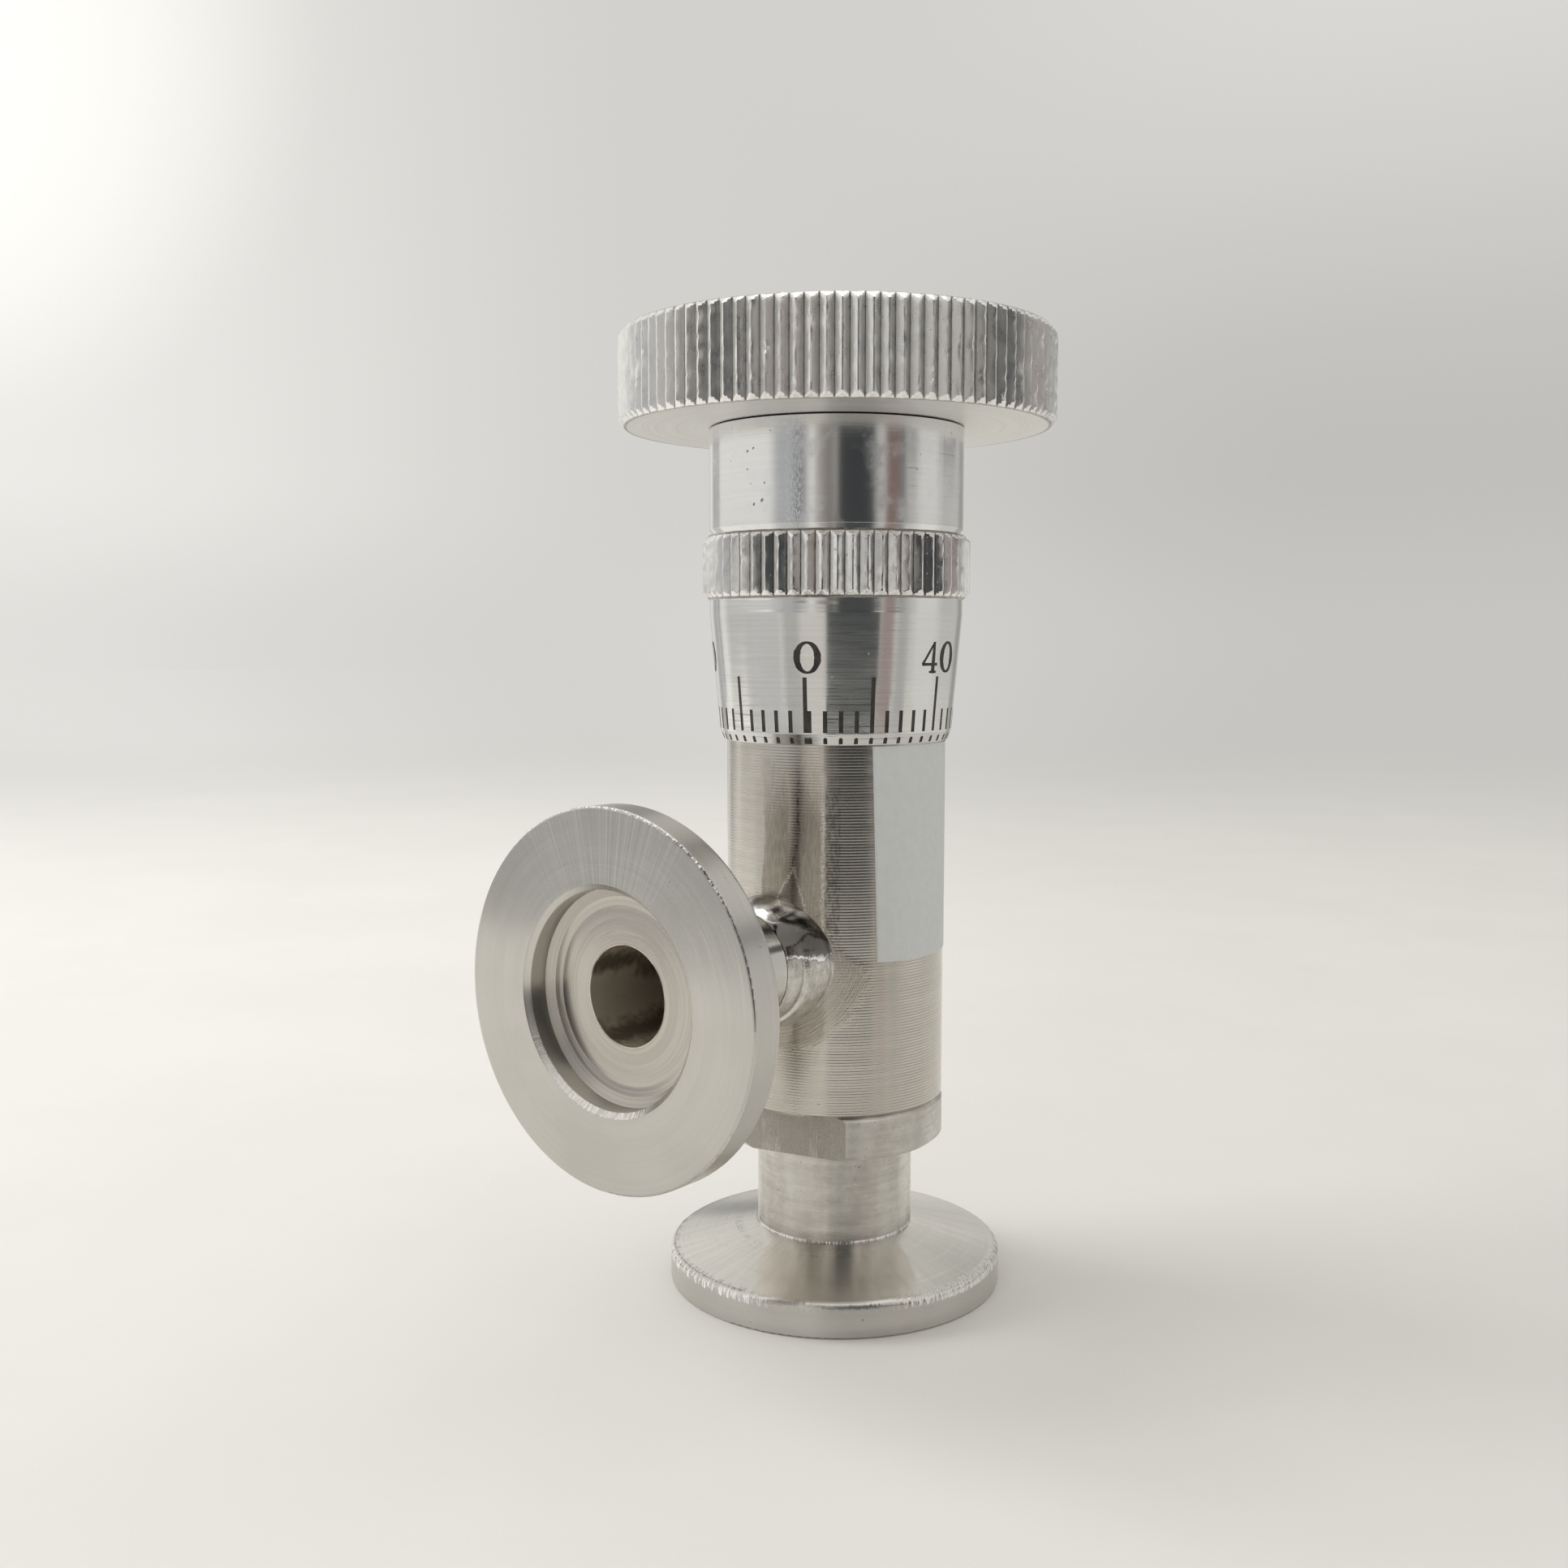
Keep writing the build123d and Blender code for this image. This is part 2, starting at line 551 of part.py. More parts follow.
def micrometer_screw():
    """Screw, clamping flange, ring thread and keyed shaft in one piece."""
    drill = BOLT_RADIUS + THREAD_GAP
    hole_z = SHAFT_TOP_Z - TAPPED_HOLE_DEPTH
    part = turned([
        (0, SCREW_TIP_Z),
        (SCREW_RADIUS - SCREW_TIP_CHAMFER, SCREW_TIP_Z),
        (SCREW_RADIUS, SCREW_TIP_Z + SCREW_TIP_CHAMFER),
        (SCREW_RADIUS, SCREW_FLANGE_Z),
        (SCREW_FLANGE_RADIUS, SCREW_FLANGE_Z),
        (SCREW_FLANGE_RADIUS, WEB_Z),
        (RING_THREAD_RADIUS, WEB_Z),
        (RING_THREAD_RADIUS, RING_TOP_Z),
        (SHAFT_RADIUS, RING_TOP_Z),
        (SHAFT_RADIUS, SHAFT_TOP_Z),
        (drill, SHAFT_TOP_Z),
        (drill, hole_z),
        (0, hole_z),
    ])
    return part - key_block(0, 0)


def drive_key():
    """Key that turns the screw with the neck sleeve and the handwheel."""
    return key_block(0, 0)


def cone_radius(height):
    """Radius of the graduated cone at one height."""
    share = (height - BEVEL_TOP_Z) / (CONE_TOP_Z - BEVEL_TOP_Z)
    return CONE_BASE_RADIUS + share * (HUB_RADIUS - CONE_BASE_RADIUS)


def tick_cutter(length):
    """Cutter for one mark, lying along the slope of the cone."""
    foot = BEVEL_TOP_Z + TICK_FOOT
    middle = foot + length / 2
    rise = CONE_TOP_Z - BEVEL_TOP_Z
    slope = math.atan2(HUB_RADIUS - CONE_BASE_RADIUS, rise)
    normal = (math.cos(slope), 0, -math.sin(slope))
    frame = Plane(origin=(cone_radius(middle), 0, middle), x_dir=(0, 1, 0), z_dir=normal)
    return frame.offset(-TICK_DEPTH) * Box(TICK_WIDTH, length, 1, align=ON_BASE)


def graduated_thimble():
    """Dial sleeve with a long engraved mark at each fifth division."""
    web_bore = RING_THREAD_RADIUS + RUN_GAP
    part = turned([
        (THIMBLE_BORE, THIMBLE_Z),
        (THIMBLE_BORE + THIMBLE_EDGE_WALL, THIMBLE_Z),
        (CONE_BASE_RADIUS, BEVEL_TOP_Z),
        (HUB_RADIUS, CONE_TOP_Z),
        (HUB_RADIUS, THIMBLE_TOP_Z),
        (web_bore, THIMBLE_TOP_Z),
        (web_bore, WEB_Z),
        (THIMBLE_BORE, WEB_Z),
    ])
    short, long = tick_cutter(TICK_SHORT), tick_cutter(TICK_LONG)
    cutters = []
    for tick in range(TICK_COUNT):
        cutter = short if tick % 5 else long
        cutters.append(Rot(0, 0, ZERO_ANGLE - tick * TICK_PITCH) * cutter)
    return part - cutters


def lock_ring():
    """Knurled nut that clamps the thimble on the screw at any zero."""
    bore = RING_THREAD_RADIUS + THREAD_GAP
    return knurled(
        RING_TIP_RADIUS, RING_KNURL_DEPTH, RING_TEETH, RING_PHASE,
        THIMBLE_TOP_Z, RING_TOP_Z, RING_CHAMFER, bore,
    )


def neck_sleeve():
    """Polished spacer between lock ring and handwheel."""
    bore = SHAFT_RADIUS + RUN_GAP
    part = turned([
        (bore, RING_TOP_Z),
        (HUB_RADIUS - NECK_CHAMFER, RING_TOP_Z),
        (HUB_RADIUS, RING_TOP_Z + NECK_CHAMFER),
        (HUB_RADIUS, HANDWHEEL_Z),
        (bore, HANDWHEEL_Z),
    ])
    return part - key_block(RUN_GAP, RUN_GAP)


def handwheel():
    """Knurled wheel with a counterbore for its screw."""
    part = knurled(
        HANDWHEEL_RADIUS, HANDWHEEL_KNURL_DEPTH, HANDWHEEL_TEETH, HANDWHEEL_PHASE,
        HANDWHEEL_Z, HANDWHEEL_TOP_Z, HANDWHEEL_CHAMFER, SHAFT_RADIUS + RUN_GAP,
    )
    part -= tube(0, COUNTERBORE_RADIUS, COUNTERBORE_Z, HANDWHEEL_TOP_Z)
    return part - key_block(RUN_GAP, RUN_GAP)


def handwheel_washer():
    """Washer under the handwheel screw."""
    outer = COUNTERBORE_RADIUS - WASHER_INSET
    return tube(BOLT_RADIUS + RUN_GAP, outer, COUNTERBORE_Z, BOLT_SEAT_Z)


def handwheel_screw():
    """Button-headed screw into the end of the shaft."""
    head_top = BOLT_SEAT_Z + BOLT_HEAD_HEIGHT
    profile = [
        (0, BOLT_SEAT_Z - BOLT_LENGTH),
        (BOLT_RADIUS, BOLT_SEAT_Z - BOLT_LENGTH),
        (BOLT_RADIUS, BOLT_SEAT_Z),
        (BOLT_HEAD_RADIUS, BOLT_SEAT_Z),
        (BOLT_HEAD_RADIUS, BOLT_SEAT_Z + BOLT_HEAD_HEIGHT / 4),
        (BOLT_HEAD_RADIUS * 0.85, BOLT_SEAT_Z + BOLT_HEAD_HEIGHT * 0.7),
        (BOLT_HEAD_RADIUS * 0.55, head_top),
        (0, head_top),
    ]
    return turned(profile) - socket(BOLT_SOCKET_WIDTH, BOLT_SOCKET_DEPTH, head_top)


def label():
    """Blank paper label wrapped round the barrel, its left edge cut a little askew."""
    inner = BARREL_RADIUS + TOUCH_GAP
    outer = inner + LABEL_THICKNESS
    top = THIMBLE_Z - LABEL_TOP_GAP
    bottom = top - LABEL_HEIGHT
    middle = LABEL_LEFT_ANGLE + LABEL_HALF_SPAN
    edge = outer * math.sin(math.radians(LABEL_HALF_SPAN))
    corners = [(-edge + LABEL_SKEW, bottom), (edge, bottom), (edge, top), (-edge, top)]
    frame = Plane(origin=(0, 0, 0), x_dir=direction(middle + 90), z_dir=direction(middle))
    window = extrude(frame * make_face(Polyline(*corners, close=True)), amount=2 * outer)
    return tube(inner, outer, bottom, top) & window


NODES = {
    "valve_barrel": valve_barrel,
    "side_port": side_port,
    "weld_bead": weld_bead,
    "inlet_fitting": inlet_fitting,
    "inlet_seal": inlet_seal,
    "valve_seat": valve_seat,
    "stem_gland": stem_gland,
    "gland_seal": gland_seal,
    "stem_seals": stem_seals,
    "spring_sleeve": spring_sleeve,
    "return_spring": return_spring,
    "screw_nut": screw_nut,
    "lock_screw": lock_screw,
    "label": label,
    "needle": needle,
    "needle_stem": needle_stem,
    "cross_pin": lambda: cross_pin_rod(CROSS_PIN_RADIUS, CROSS_PIN_LENGTH),
    "thrust_ball": lambda: Pos(0, 0, BALL_Z) * Sphere(BALL_RADIUS),
    "micrometer_screw": micrometer_screw,
    "graduated_thimble": graduated_thimble,
    "lock_ring": lock_ring,
    "neck_sleeve": neck_sleeve,
    "drive_key": drive_key,
    "handwheel": handwheel,
    "handwheel_washer": handwheel_washer,
    "handwheel_screw": handwheel_screw,
}

os.makedirs("parts", exist_ok=True)
for name, build in NODES.items():
    solid = build()
    if isinstance(solid, list):
        solid = Compound(children=solid)
    solid.label = name
    export_step(solid, f"parts/{name}.step")
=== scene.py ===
"""Dresses the vacuum needle valve: metal finishes, knurls, weld, dial marks, studio and camera."""
import logging
import math
from dataclasses import dataclass
from enum import Enum
from typing import Optional, Union

import bmesh
import bpy
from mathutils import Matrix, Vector, noise


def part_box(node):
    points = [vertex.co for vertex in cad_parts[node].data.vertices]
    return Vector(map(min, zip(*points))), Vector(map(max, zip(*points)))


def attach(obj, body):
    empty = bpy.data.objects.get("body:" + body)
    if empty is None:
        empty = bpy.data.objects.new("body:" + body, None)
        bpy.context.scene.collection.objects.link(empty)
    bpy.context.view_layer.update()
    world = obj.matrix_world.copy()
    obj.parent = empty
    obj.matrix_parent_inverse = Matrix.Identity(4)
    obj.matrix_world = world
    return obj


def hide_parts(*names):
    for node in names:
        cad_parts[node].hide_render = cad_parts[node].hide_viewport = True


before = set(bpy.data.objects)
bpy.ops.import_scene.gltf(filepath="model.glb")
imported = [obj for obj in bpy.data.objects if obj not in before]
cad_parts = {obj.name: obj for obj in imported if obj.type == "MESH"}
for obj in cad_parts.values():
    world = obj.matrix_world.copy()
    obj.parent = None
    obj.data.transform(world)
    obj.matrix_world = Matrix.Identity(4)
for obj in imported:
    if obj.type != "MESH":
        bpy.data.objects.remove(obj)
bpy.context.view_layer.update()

MM = 0.001
LOG = logging.getLogger("valve")
Socket = bpy.types.NodeSocket
Level = Union[float, tuple, "Value"]
Colour = tuple[float, float, float]
Outline = list[tuple[float, float]]
Stroke = list[tuple[float, float, float]]
Shape = tuple[list[Vector], list[tuple[int, ...]]]

PIT_DEPTH = 0.03
UPWARD = (0.0, 0.0, 1.0)
DEGREES = 180 / math.pi


class Tone:
    """Colours of marks, stains and worn places, and of painted highlights, reflections and shade.
    """

    BLACK_FILL = (0.02, 0.018, 0.016)
    # Painted highlight on chatter marks and on the fitting's fillet line.
    CUT_HIGHLIGHT = (0.97, 0.955, 0.93)
    PIT = (0.10, 0.095, 0.09)
    # Real scuffs, tinted as a painted reflection of daylight.
    SCUFF_AND_REFLECTION = (0.84, 0.87, 0.92)
    # Painted highlight on the neck sleeve's foot chamfer.
    CHAMFER_HIGHLIGHT = (0.95, 0.94, 0.92)
    CHIP = (0.16, 0.155, 0.15)
    # Painted shadow in the gap under the wheel.
    JOINT_SHADOW = (0.02, 0.02, 0.02)
    BEVEL = (0.66, 0.655, 0.64)
    # Painted shade in the roots of grooves.
    GROOVE_ROOT_SHADE = (0.16, 0.15, 0.135)
    FILED_DARK = (0.46, 0.425, 0.365)
    FILED_PALE = (0.60, 0.565, 0.50)
    GROUND_RING = (0.46, 0.425, 0.37)
    # Dark ridge line, and the painted shade beside it.
    RIDGE_AND_SHADE = (0.13, 0.115, 0.095)
    FORK = (0.22, 0.20, 0.17)
    STRIP = (0.15, 0.14, 0.125)
    FILE_EDGE = (0.90, 0.88, 0.84)
    # Painted sheen on the side flange's face.
    FACE_SHEEN = (0.92, 0.90, 0.87)
    BORE_STAIN = (0.21, 0.175, 0.13)
    BORE_PIT = (0.01, 0.01, 0.01)
    NECK_DARK = (0.54, 0.515, 0.475)
    NECK_PALE = (0.74, 0.715, 0.67)
    # Painted sheen streaks on the flange's sloping back.
    CONE_DARK = (0.78, 0.755, 0.71)
    # Painted shade at the foot of the fitting's neck.
    CONE_SHEEN = (0.84, 0.815, 0.77)
    NECK_FOOT_SHADE = (0.30, 0.285, 0.26)
    SAND_DARK = (0.66, 0.63, 0.575)
    # Painted highlight on the edges of the wrench flats.
    SAND_PALE = (0.80, 0.77, 0.715)
    ARRIS_HIGHLIGHT = (0.92, 0.90, 0.86)
    # Burnt tint, made darker as a painted reflection of dark surroundings.
    SPECK = (0.16, 0.15, 0.14)
    # Painted glints on the weld.
    BURNT_AND_DARK_REFLECTION = (0.13, 0.12, 0.11)
    WELD_GLINT = (0.92, 0.91, 0.89)
    FILED_WELD = (0.54, 0.52, 0.475)


class Axis(Enum):
    """Axis that a finish was turned about."""

    UPRIGHT = "Z"
    SIDE_PORT = "Y"


class Body(Enum):
    """CAD bodies that the scene's own pieces ride on."""

    VALVE = "valve"
    HEAD = "screw_head"


def span(node: str) -> tuple[Vector, Vector]:
    """Lowest and highest corner of a CAD node, in millimetres."""
    low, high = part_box(node)
    return low / MM, high / MM


PORT_HEIGHT = (span("side_port")[0].z + span("side_port")[1].z) / 2


@dataclass(frozen=True, eq=False)
class Value:
    """Output of a node that takes part in sums and products."""

    sheet: "Sheet"
    socket: Socket

    def __add__(self, other: Level) -> "Value":
        """Sum with a level."""
        return self.sheet.math("ADD", self, other)

    def __radd__(self, other: float) -> "Value":
        """Sum of a number and this value."""
        return self.sheet.math("ADD", other, self)

    def __sub__(self, other: Level) -> "Value":
        """Difference from a level."""
        return self.sheet.math("SUBTRACT", self, other)

    def __rsub__(self, other: float) -> "Value":
        """Number less this value."""
        return self.sheet.math("SUBTRACT", other, self)

    def __mul__(self, other: Level) -> "Value":
        """Product with a level."""
        return self.sheet.math("MULTIPLY", self, other)

    def __rmul__(self, other: float) -> "Value":
        """Product of a number and this value."""
        return self.sheet.math("MULTIPLY", other, self)

    def __pow__(self, other: float) -> "Value":
        """Power of this value."""
        return self.sheet.math("POWER", self, other)

    def __abs__(self) -> "Value":
        """Size without its sign."""
        return self.sheet.math("ABSOLUTE", self)


@dataclass
class Sheet:
    """A node tree with short calls for the nodes that the finishes use."""

    tree: bpy.types.NodeTree

    def node(
        self, kind: str, inputs: dict[Union[int, str], Level], **settings: object
    ) -> bpy.types.Node:
        """Add a node.

        Args:
            kind: Blender's name of the node type.
            inputs: level of each input that is fed, by its number or name.
            settings: options of the node.

        Returns:
            The new node.
        """
        made = self.tree.nodes.new(kind)
        for name, value in settings.items():
            setattr(made, name, value)
        for key, value in inputs.items():
            self.feed(made.inputs[key], value)
        return made

    def result(self, kind: str, *inputs: Level, **settings: object) -> Value:
        """First output of a new node whose first inputs are fed in order."""
        return Value(self, self.node(kind, dict(enumerate(inputs)), **settings).outputs[0])

    def feed(self, socket: Socket, value: Level) -> None:
        """Link a socket to a value, or set its constant.

        Args:
            socket: input of a node.
            value: number, tuple or value that it gets.
        """
        if isinstance(value, Value):
            self.tree.links.new(value.socket, socket)
        elif isinstance(value, tuple) and len(value) == 3 and len(socket.default_value) == 4:
            socket.default_value = (*value, 1.0)
        else:
            socket.default_value = value

    def math(
        self, operation: str, first: Level, second: Level = 0.0, third: Level = 0.0
    ) -> Value:
        """Result of one Math node."""
        return self.result("ShaderNodeMath", first, second, third, operation=operation)

    def larger(self, first: Level, second: Level) -> Value:
        """Larger of two levels."""
        return self.math("MAXIMUM", first, second)

    def ease(
        self, value: Level, start: float, end: float, low: Level = 0.0, high: Level = 1.0
    ) -> Value:
        """Smooth change from low to high while a value goes from start to end.

        Args:
            value: level that drives the change.
            start: its level where the change begins.
            end: its level where the change is complete.
            low: result before the change.
            high: result after the change.

        Returns:
            Value that changes smoothly between the two results.
        """
        return self.result(
            "ShaderNodeMapRange", value, start, end, low, high, interpolation_type="SMOOTHSTEP"
        )

    def fade(self, value: Level, start: float, end: float) -> Value:
        """Smooth fall from 1 to 0 while a value goes from start to end."""
        return self.ease(value, start, end, 1.0, 0.0)

    def between(self, mask: Level, off: Level, on: Level) -> Value:
        """Level that goes from one to another with a mask."""
        return self.ease(mask, 0.0, 1.0, off, on)

    def inside(self, value: Level, low: float, high: float, soft: float) -> Value:
        """Mask that is 1 between two values, with soft edges outside them."""
        return self.ease(value, low - soft, low) * self.fade(value, high, high + soft)

    def vector(self, x: Level = 0.0, y: Level = 0.0, z: Level = 0.0) -> Value:
        """Vector from three levels."""
        return self.result("ShaderNodeCombineXYZ", x, y, z)

    def split(self, vector: Level) -> list[Value]:
        """Three parts of a vector."""
        made = self.node("ShaderNodeSeparateXYZ", {0: vector})
        return [Value(self, output) for output in made.outputs]

    def vectors(self, operation: str, *inputs: Level) -> Value:
        """Result of one Vector Math node."""
        return self.result("ShaderNodeVectorMath", *inputs, operation=operation)

    def added(self, first: Level, second: Level) -> Value:
        """Sum of two vectors."""
        return self.vectors("ADD", first, second)

    def scaled(self, vector: Level, scale: Level) -> Value:
        """Vector times a level."""
        made = self.node("ShaderNodeVectorMath", {0: vector, "Scale": scale}, operation="SCALE")
        return Value(self, made.outputs[0])

    def dot(self, first: Level, second: Level) -> Value:
        """Dot product of two vectors.

        Args:
            first: one vector.
            second: the other vector.

        Returns:
            Value with the product.
        """
        inputs = {0: first, 1: second}
        made = self.node("ShaderNodeVectorMath", inputs, operation="DOT_PRODUCT")
        return Value(self, made.outputs["Value"])

    def unit(self, vector: Level) -> Value:
        """Vector of length 1."""
        return self.vectors("NORMALIZE", vector)

    def noise(self, place: Level, scale: float, detail: float = 2.0, rough: float = 0.5) -> Value:
        """Noise between 0 and 1 at a place."""
        inputs = {"Vector": place, "Scale": scale, "Detail": detail, "Roughness": rough}
        return Value(self, self.node("ShaderNodeTexNoise", inputs).outputs["Fac"])

    def dots(self, place: Level, scale: float, size: float, share: float) -> Value:
        """Mask of scattered round dots.

        Args:
            place: where the pattern is read.
            scale: cells for each unit of place.
            size: radius of a dot, as a share of its cell.
            share: share of the cells that have a dot.

        Returns:
            Value that is 1 inside the dots.
        """
        cells = self.node("ShaderNodeTexVoronoi", {"Vector": place, "Scale": scale}, feature="F1")
        red = self.result("ShaderNodeSeparateColor", Value(self, cells.outputs["Color"]))
        near = self.fade(Value(self, cells.outputs["Distance"]), size * 0.5, size)
        return self.math("LESS_THAN", red, share) * near

    def mix(self, share: Level, first: Level, second: Level) -> Value:
        """Colour between two colours.

        Args:
            share: share of the second colour.
            first: colour at share 0.
            second: colour at share 1.

        Returns:
            Value with the colour.
        """
        made = self.node("ShaderNodeMix", {}, data_type="RGBA")
        for index, value in ((0, share), (6, first), (7, second)):
            self.feed(made.inputs[index], value)
        return Value(self, made.outputs[2])

    def bump(self, height: Level, depth: float, under: Optional[Level] = None) -> Value:
        """Normal for a height pattern whose full range is depth millimetres.

        Args:
            height: pattern from 0 to 1.
            depth: its full range in millimetres.
            under: normal that the pattern is laid on.

        Returns:
            Value with the new normal.
        """
        inputs = {"Distance": depth * MM, "Height": height}
        if under is not None:
            inputs["Normal"] = under
        return Value(self, self.node("ShaderNodeBump", inputs).outputs[0])

    def place(self, kind: str) -> Value:
        """One kind of texture coordinate."""
        return Value(self, self.node("ShaderNodeTexCoord", {}).outputs[kind])

    def glow(self, tone: Level) -> Value:
        """Light of its own."""
        return self.result("ShaderNodeEmission", tone)

    def blend(self, share: Level, first: Level, second: Level) -> Value:
        """Shader between two shaders."""
        return self.result("ShaderNodeMixShader", share, first, second)

    def cover(self, shader: Level, kind: str = "ShaderNodeOutputMaterial") -> None:
        """Put a shader on the surface."""
        self.node(kind, {"Surface": shader})

    def principled(self, **sockets: Level) -> None:
        """Cover the surface with a Principled shader.

        Args:
            sockets: socket names with underscores for spaces, and their levels.
        """
        inputs = {name.replace("_", " "): value for name, value in sockets.items()}
        self.cover(Value(self, self.node("ShaderNodeBsdfPrincipled", inputs).outputs[0]))


@dataclass
class Skin(Sheet):
    """Node tree of a finish, with millimetre coordinates about the axis it was turned on."""

    axis: Axis = Axis.UPRIGHT

    def __post_init__(self) -> None:
        """Work out radius, height, angle and the turning frame of each surface point."""
        self.normal = self.place("Normal")
        self.point = self.scaled(self.place("Object"), 1 / MM)
        self.x, self.y, self.z = self.split(self.point)
        if self.axis is Axis.UPRIGHT:
            across, up, self.height = self.x, self.y, self.z
            around = self.vector(up * -1.0, across, 0.0)
        else:
            across, up, self.height = self.x, self.z - PORT_HEIGHT, self.y * -1.0
            around = self.vector(up * -1.0, 0.0, across)
        self.radius = self.math("SQRT", across ** 2.0 + up ** 2.0)
        self.angle = self.math("ARCTAN2", up, across)
        self.profile = self.height + self.radius * 0.9
        self.around = self.unit(around)
        self.facing = abs(self.split(self.normal)[2 if self.axis is Axis.UPRIGHT else 1])
        self.along = self.vectors("CROSS_PRODUCT", self.normal, self.around)

    def twisted(self, twist: Level) -> Value:
        """Normal in the piece's own frame, turned about the axis by a slope."""
        return self.added(self.normal, self.scaled(self.around, twist))

    def lifted(self, lift: Level, normal: Optional[Level] = None) -> Value:
        """Normal leaned upwards by a slope."""
        return self.unit(self.added(normal or self.normal, self.scaled(UPWARD, lift)))

    def leaned(self, slope: Level, normal: Optional[Level] = None) -> Value:
        """World normal after the surface is leaned along its profile by a slope.

        Args:
            slope: rise over run along the profile.
            normal: normal in the piece's own frame, if not the plain one.

        Returns:
            Value with the normal.
        """
        own = self.added(normal or self.normal, self.scaled(self.along, slope))
        return self.unit(self.result(
            "ShaderNodeVectorTransform", own,
            vector_type="NORMAL", convert_from="OBJECT", convert_to="WORLD",
        ))

    def stretched(self, along: float, around: float) -> Value:
        """Noise coordinates that run long round the axis, in cells for each millimetre."""
        turn = self.vector(self.math("COSINE", self.angle), self.math("SINE", self.angle), 0.0)
        return self.added(self.scaled(turn, around), self.vector(0.0, 0.0, self.profile * along))

    def pulled(self, x: float, y: float, z: float) -> Value:
        """Noise coordinates with their own number of cells for a millimetre along each axis."""
        return self.vector(self.x * x, self.y * y, self.z * z)


@dataclass(frozen=True)
class Finish:
    """Look of a surface."""

    axis = Axis.UPRIGHT
    name: str

    def sockets(self, skin: Skin) -> dict[str, Level]:
        """Levels of the Principled shader's sockets."""
        raise NotImplementedError

    def build(self) -> bpy.types.Material:
        """Make the material.

        Returns:
            The material.
        """
        material = empty_material(self.name)
        skin = Skin(material.node_tree, self.axis)
        skin.principled(**self.sockets(skin))
        return material


def empty_material(name: str) -> bpy.types.Material:
    """Node material without nodes.

    Args:
        name: name of the finish.

    Returns:
        The material.
    """
    material = bpy.data.materials.new(name)
    material.use_nodes = True
    material.node_tree.nodes.clear()
    return material


@dataclass(frozen=True)
class TurnedFinish(Finish):
    """Bare metal with the fine rings that a cutting tool leaves round its axis."""

    colour: Colour
    shade: Colour
    roughness: float = 0.26
    stretch: float = 0.6
    axis: Axis = Axis.UPRIGHT
    pitch: float = 0.12
    groove: float = 0.02
    hairline: float = 0.08
    pits: float = 0.06
    pit_size: float = 0.12

    def metal_tone(self, skin: Skin) -> Value:
        """Cloudy colour with faint rings and dark pits.

        Args:
            skin: nodes and coordinates of the surface.

        Returns:
            Value with the colour.
        """
        cloud = skin.noise(skin.point, 0.16, 3.0)
        rings = skin.noise(skin.stretched(4.0, 0.6), 1.0, 3.0, 0.6)
        share = skin.ease(cloud * 0.6 + rings * 0.4, 0.36, 0.64)
        tone = skin.mix(share, self.shade, self.colour)
        return skin.mix(self.pitted(skin) * 0.75, tone, Tone.PIT)

    def pitted(self, skin: Skin) -> Value:
        """Mask of small scattered pits of two sizes.

        Args:
            skin: nodes and coordinates of the surface.

        Returns:
            Value that is 1 in the pits.
        """
        large = skin.dots(skin.point, 0.45, self.pit_size * 0.6, self.pits)
        small = skin.dots(skin.point, 1.3, self.pit_size, self.pits)
        return skin.larger(large, small)

    def rings(self, skin: Skin) -> Value:
        """Slope of the tool rings and of the hairlines between them.

        Args:
            skin: nodes and coordinates of the surface.

        Returns:
            Value with the slope along the profile.
        """
        drift = skin.noise(skin.stretched(0.7, 1.0), 1.0, 1.0)
        phase = skin.profile * (2 * math.pi / self.pitch) + drift * 6.0
        hair = skin.noise(skin.stretched(15.0, 0.9), 1.0, 2.0, 0.6)
        scratch = skin.ease(skin.noise(skin.stretched(6.5, 1.6), 1.0, 2.0, 0.5), 0.58, 0.66)
        return (
            skin.math("SINE", phase) * self.groove
            + (hair - 0.5) * self.hairline
            + scratch * (self.hairline * 0.8)
        )

    def relief(self, skin: Skin) -> Value:
        """Normal with tool rings, hairlines and a few pits."""
        normal = skin.leaned(self.rings(skin))
        return skin.bump(1.0 - self.pitted(skin), PIT_DEPTH, normal)

    def polish(self, skin: Skin) -> Level:
        """Roughness with soft changes along the profile."""
        worn = skin.noise(skin.stretched(0.9, 0.8), 1.0, 2.0, 0.5)
        return skin.ease(worn, 0.3, 0.7, self.roughness * 0.92, self.roughness * 1.1)

    def metallic(self, skin: Skin) -> Level:
        """Share of metal."""
        return 1.0

    def sockets(self, skin: Skin) -> dict[str, Level]:
        """Metal whose highlights are stretched across its rings.

        Args:
            skin: nodes and coordinates of the surface.

        Returns:
            Level of each socket, by its name.
        """
        return {
            "Base_Color": self.metal_tone(skin),
            "Metallic": self.metallic(skin),
            "Roughness": self.polish(skin),
            "Normal": self.relief(skin),
            "Tangent": skin.result(
                "ShaderNodeTangent", direction_type="RADIAL", axis=self.axis.value
            ),
            "Anisotropic": self.stretch,
            "Anisotropic_Rotation": 0.25,
        }


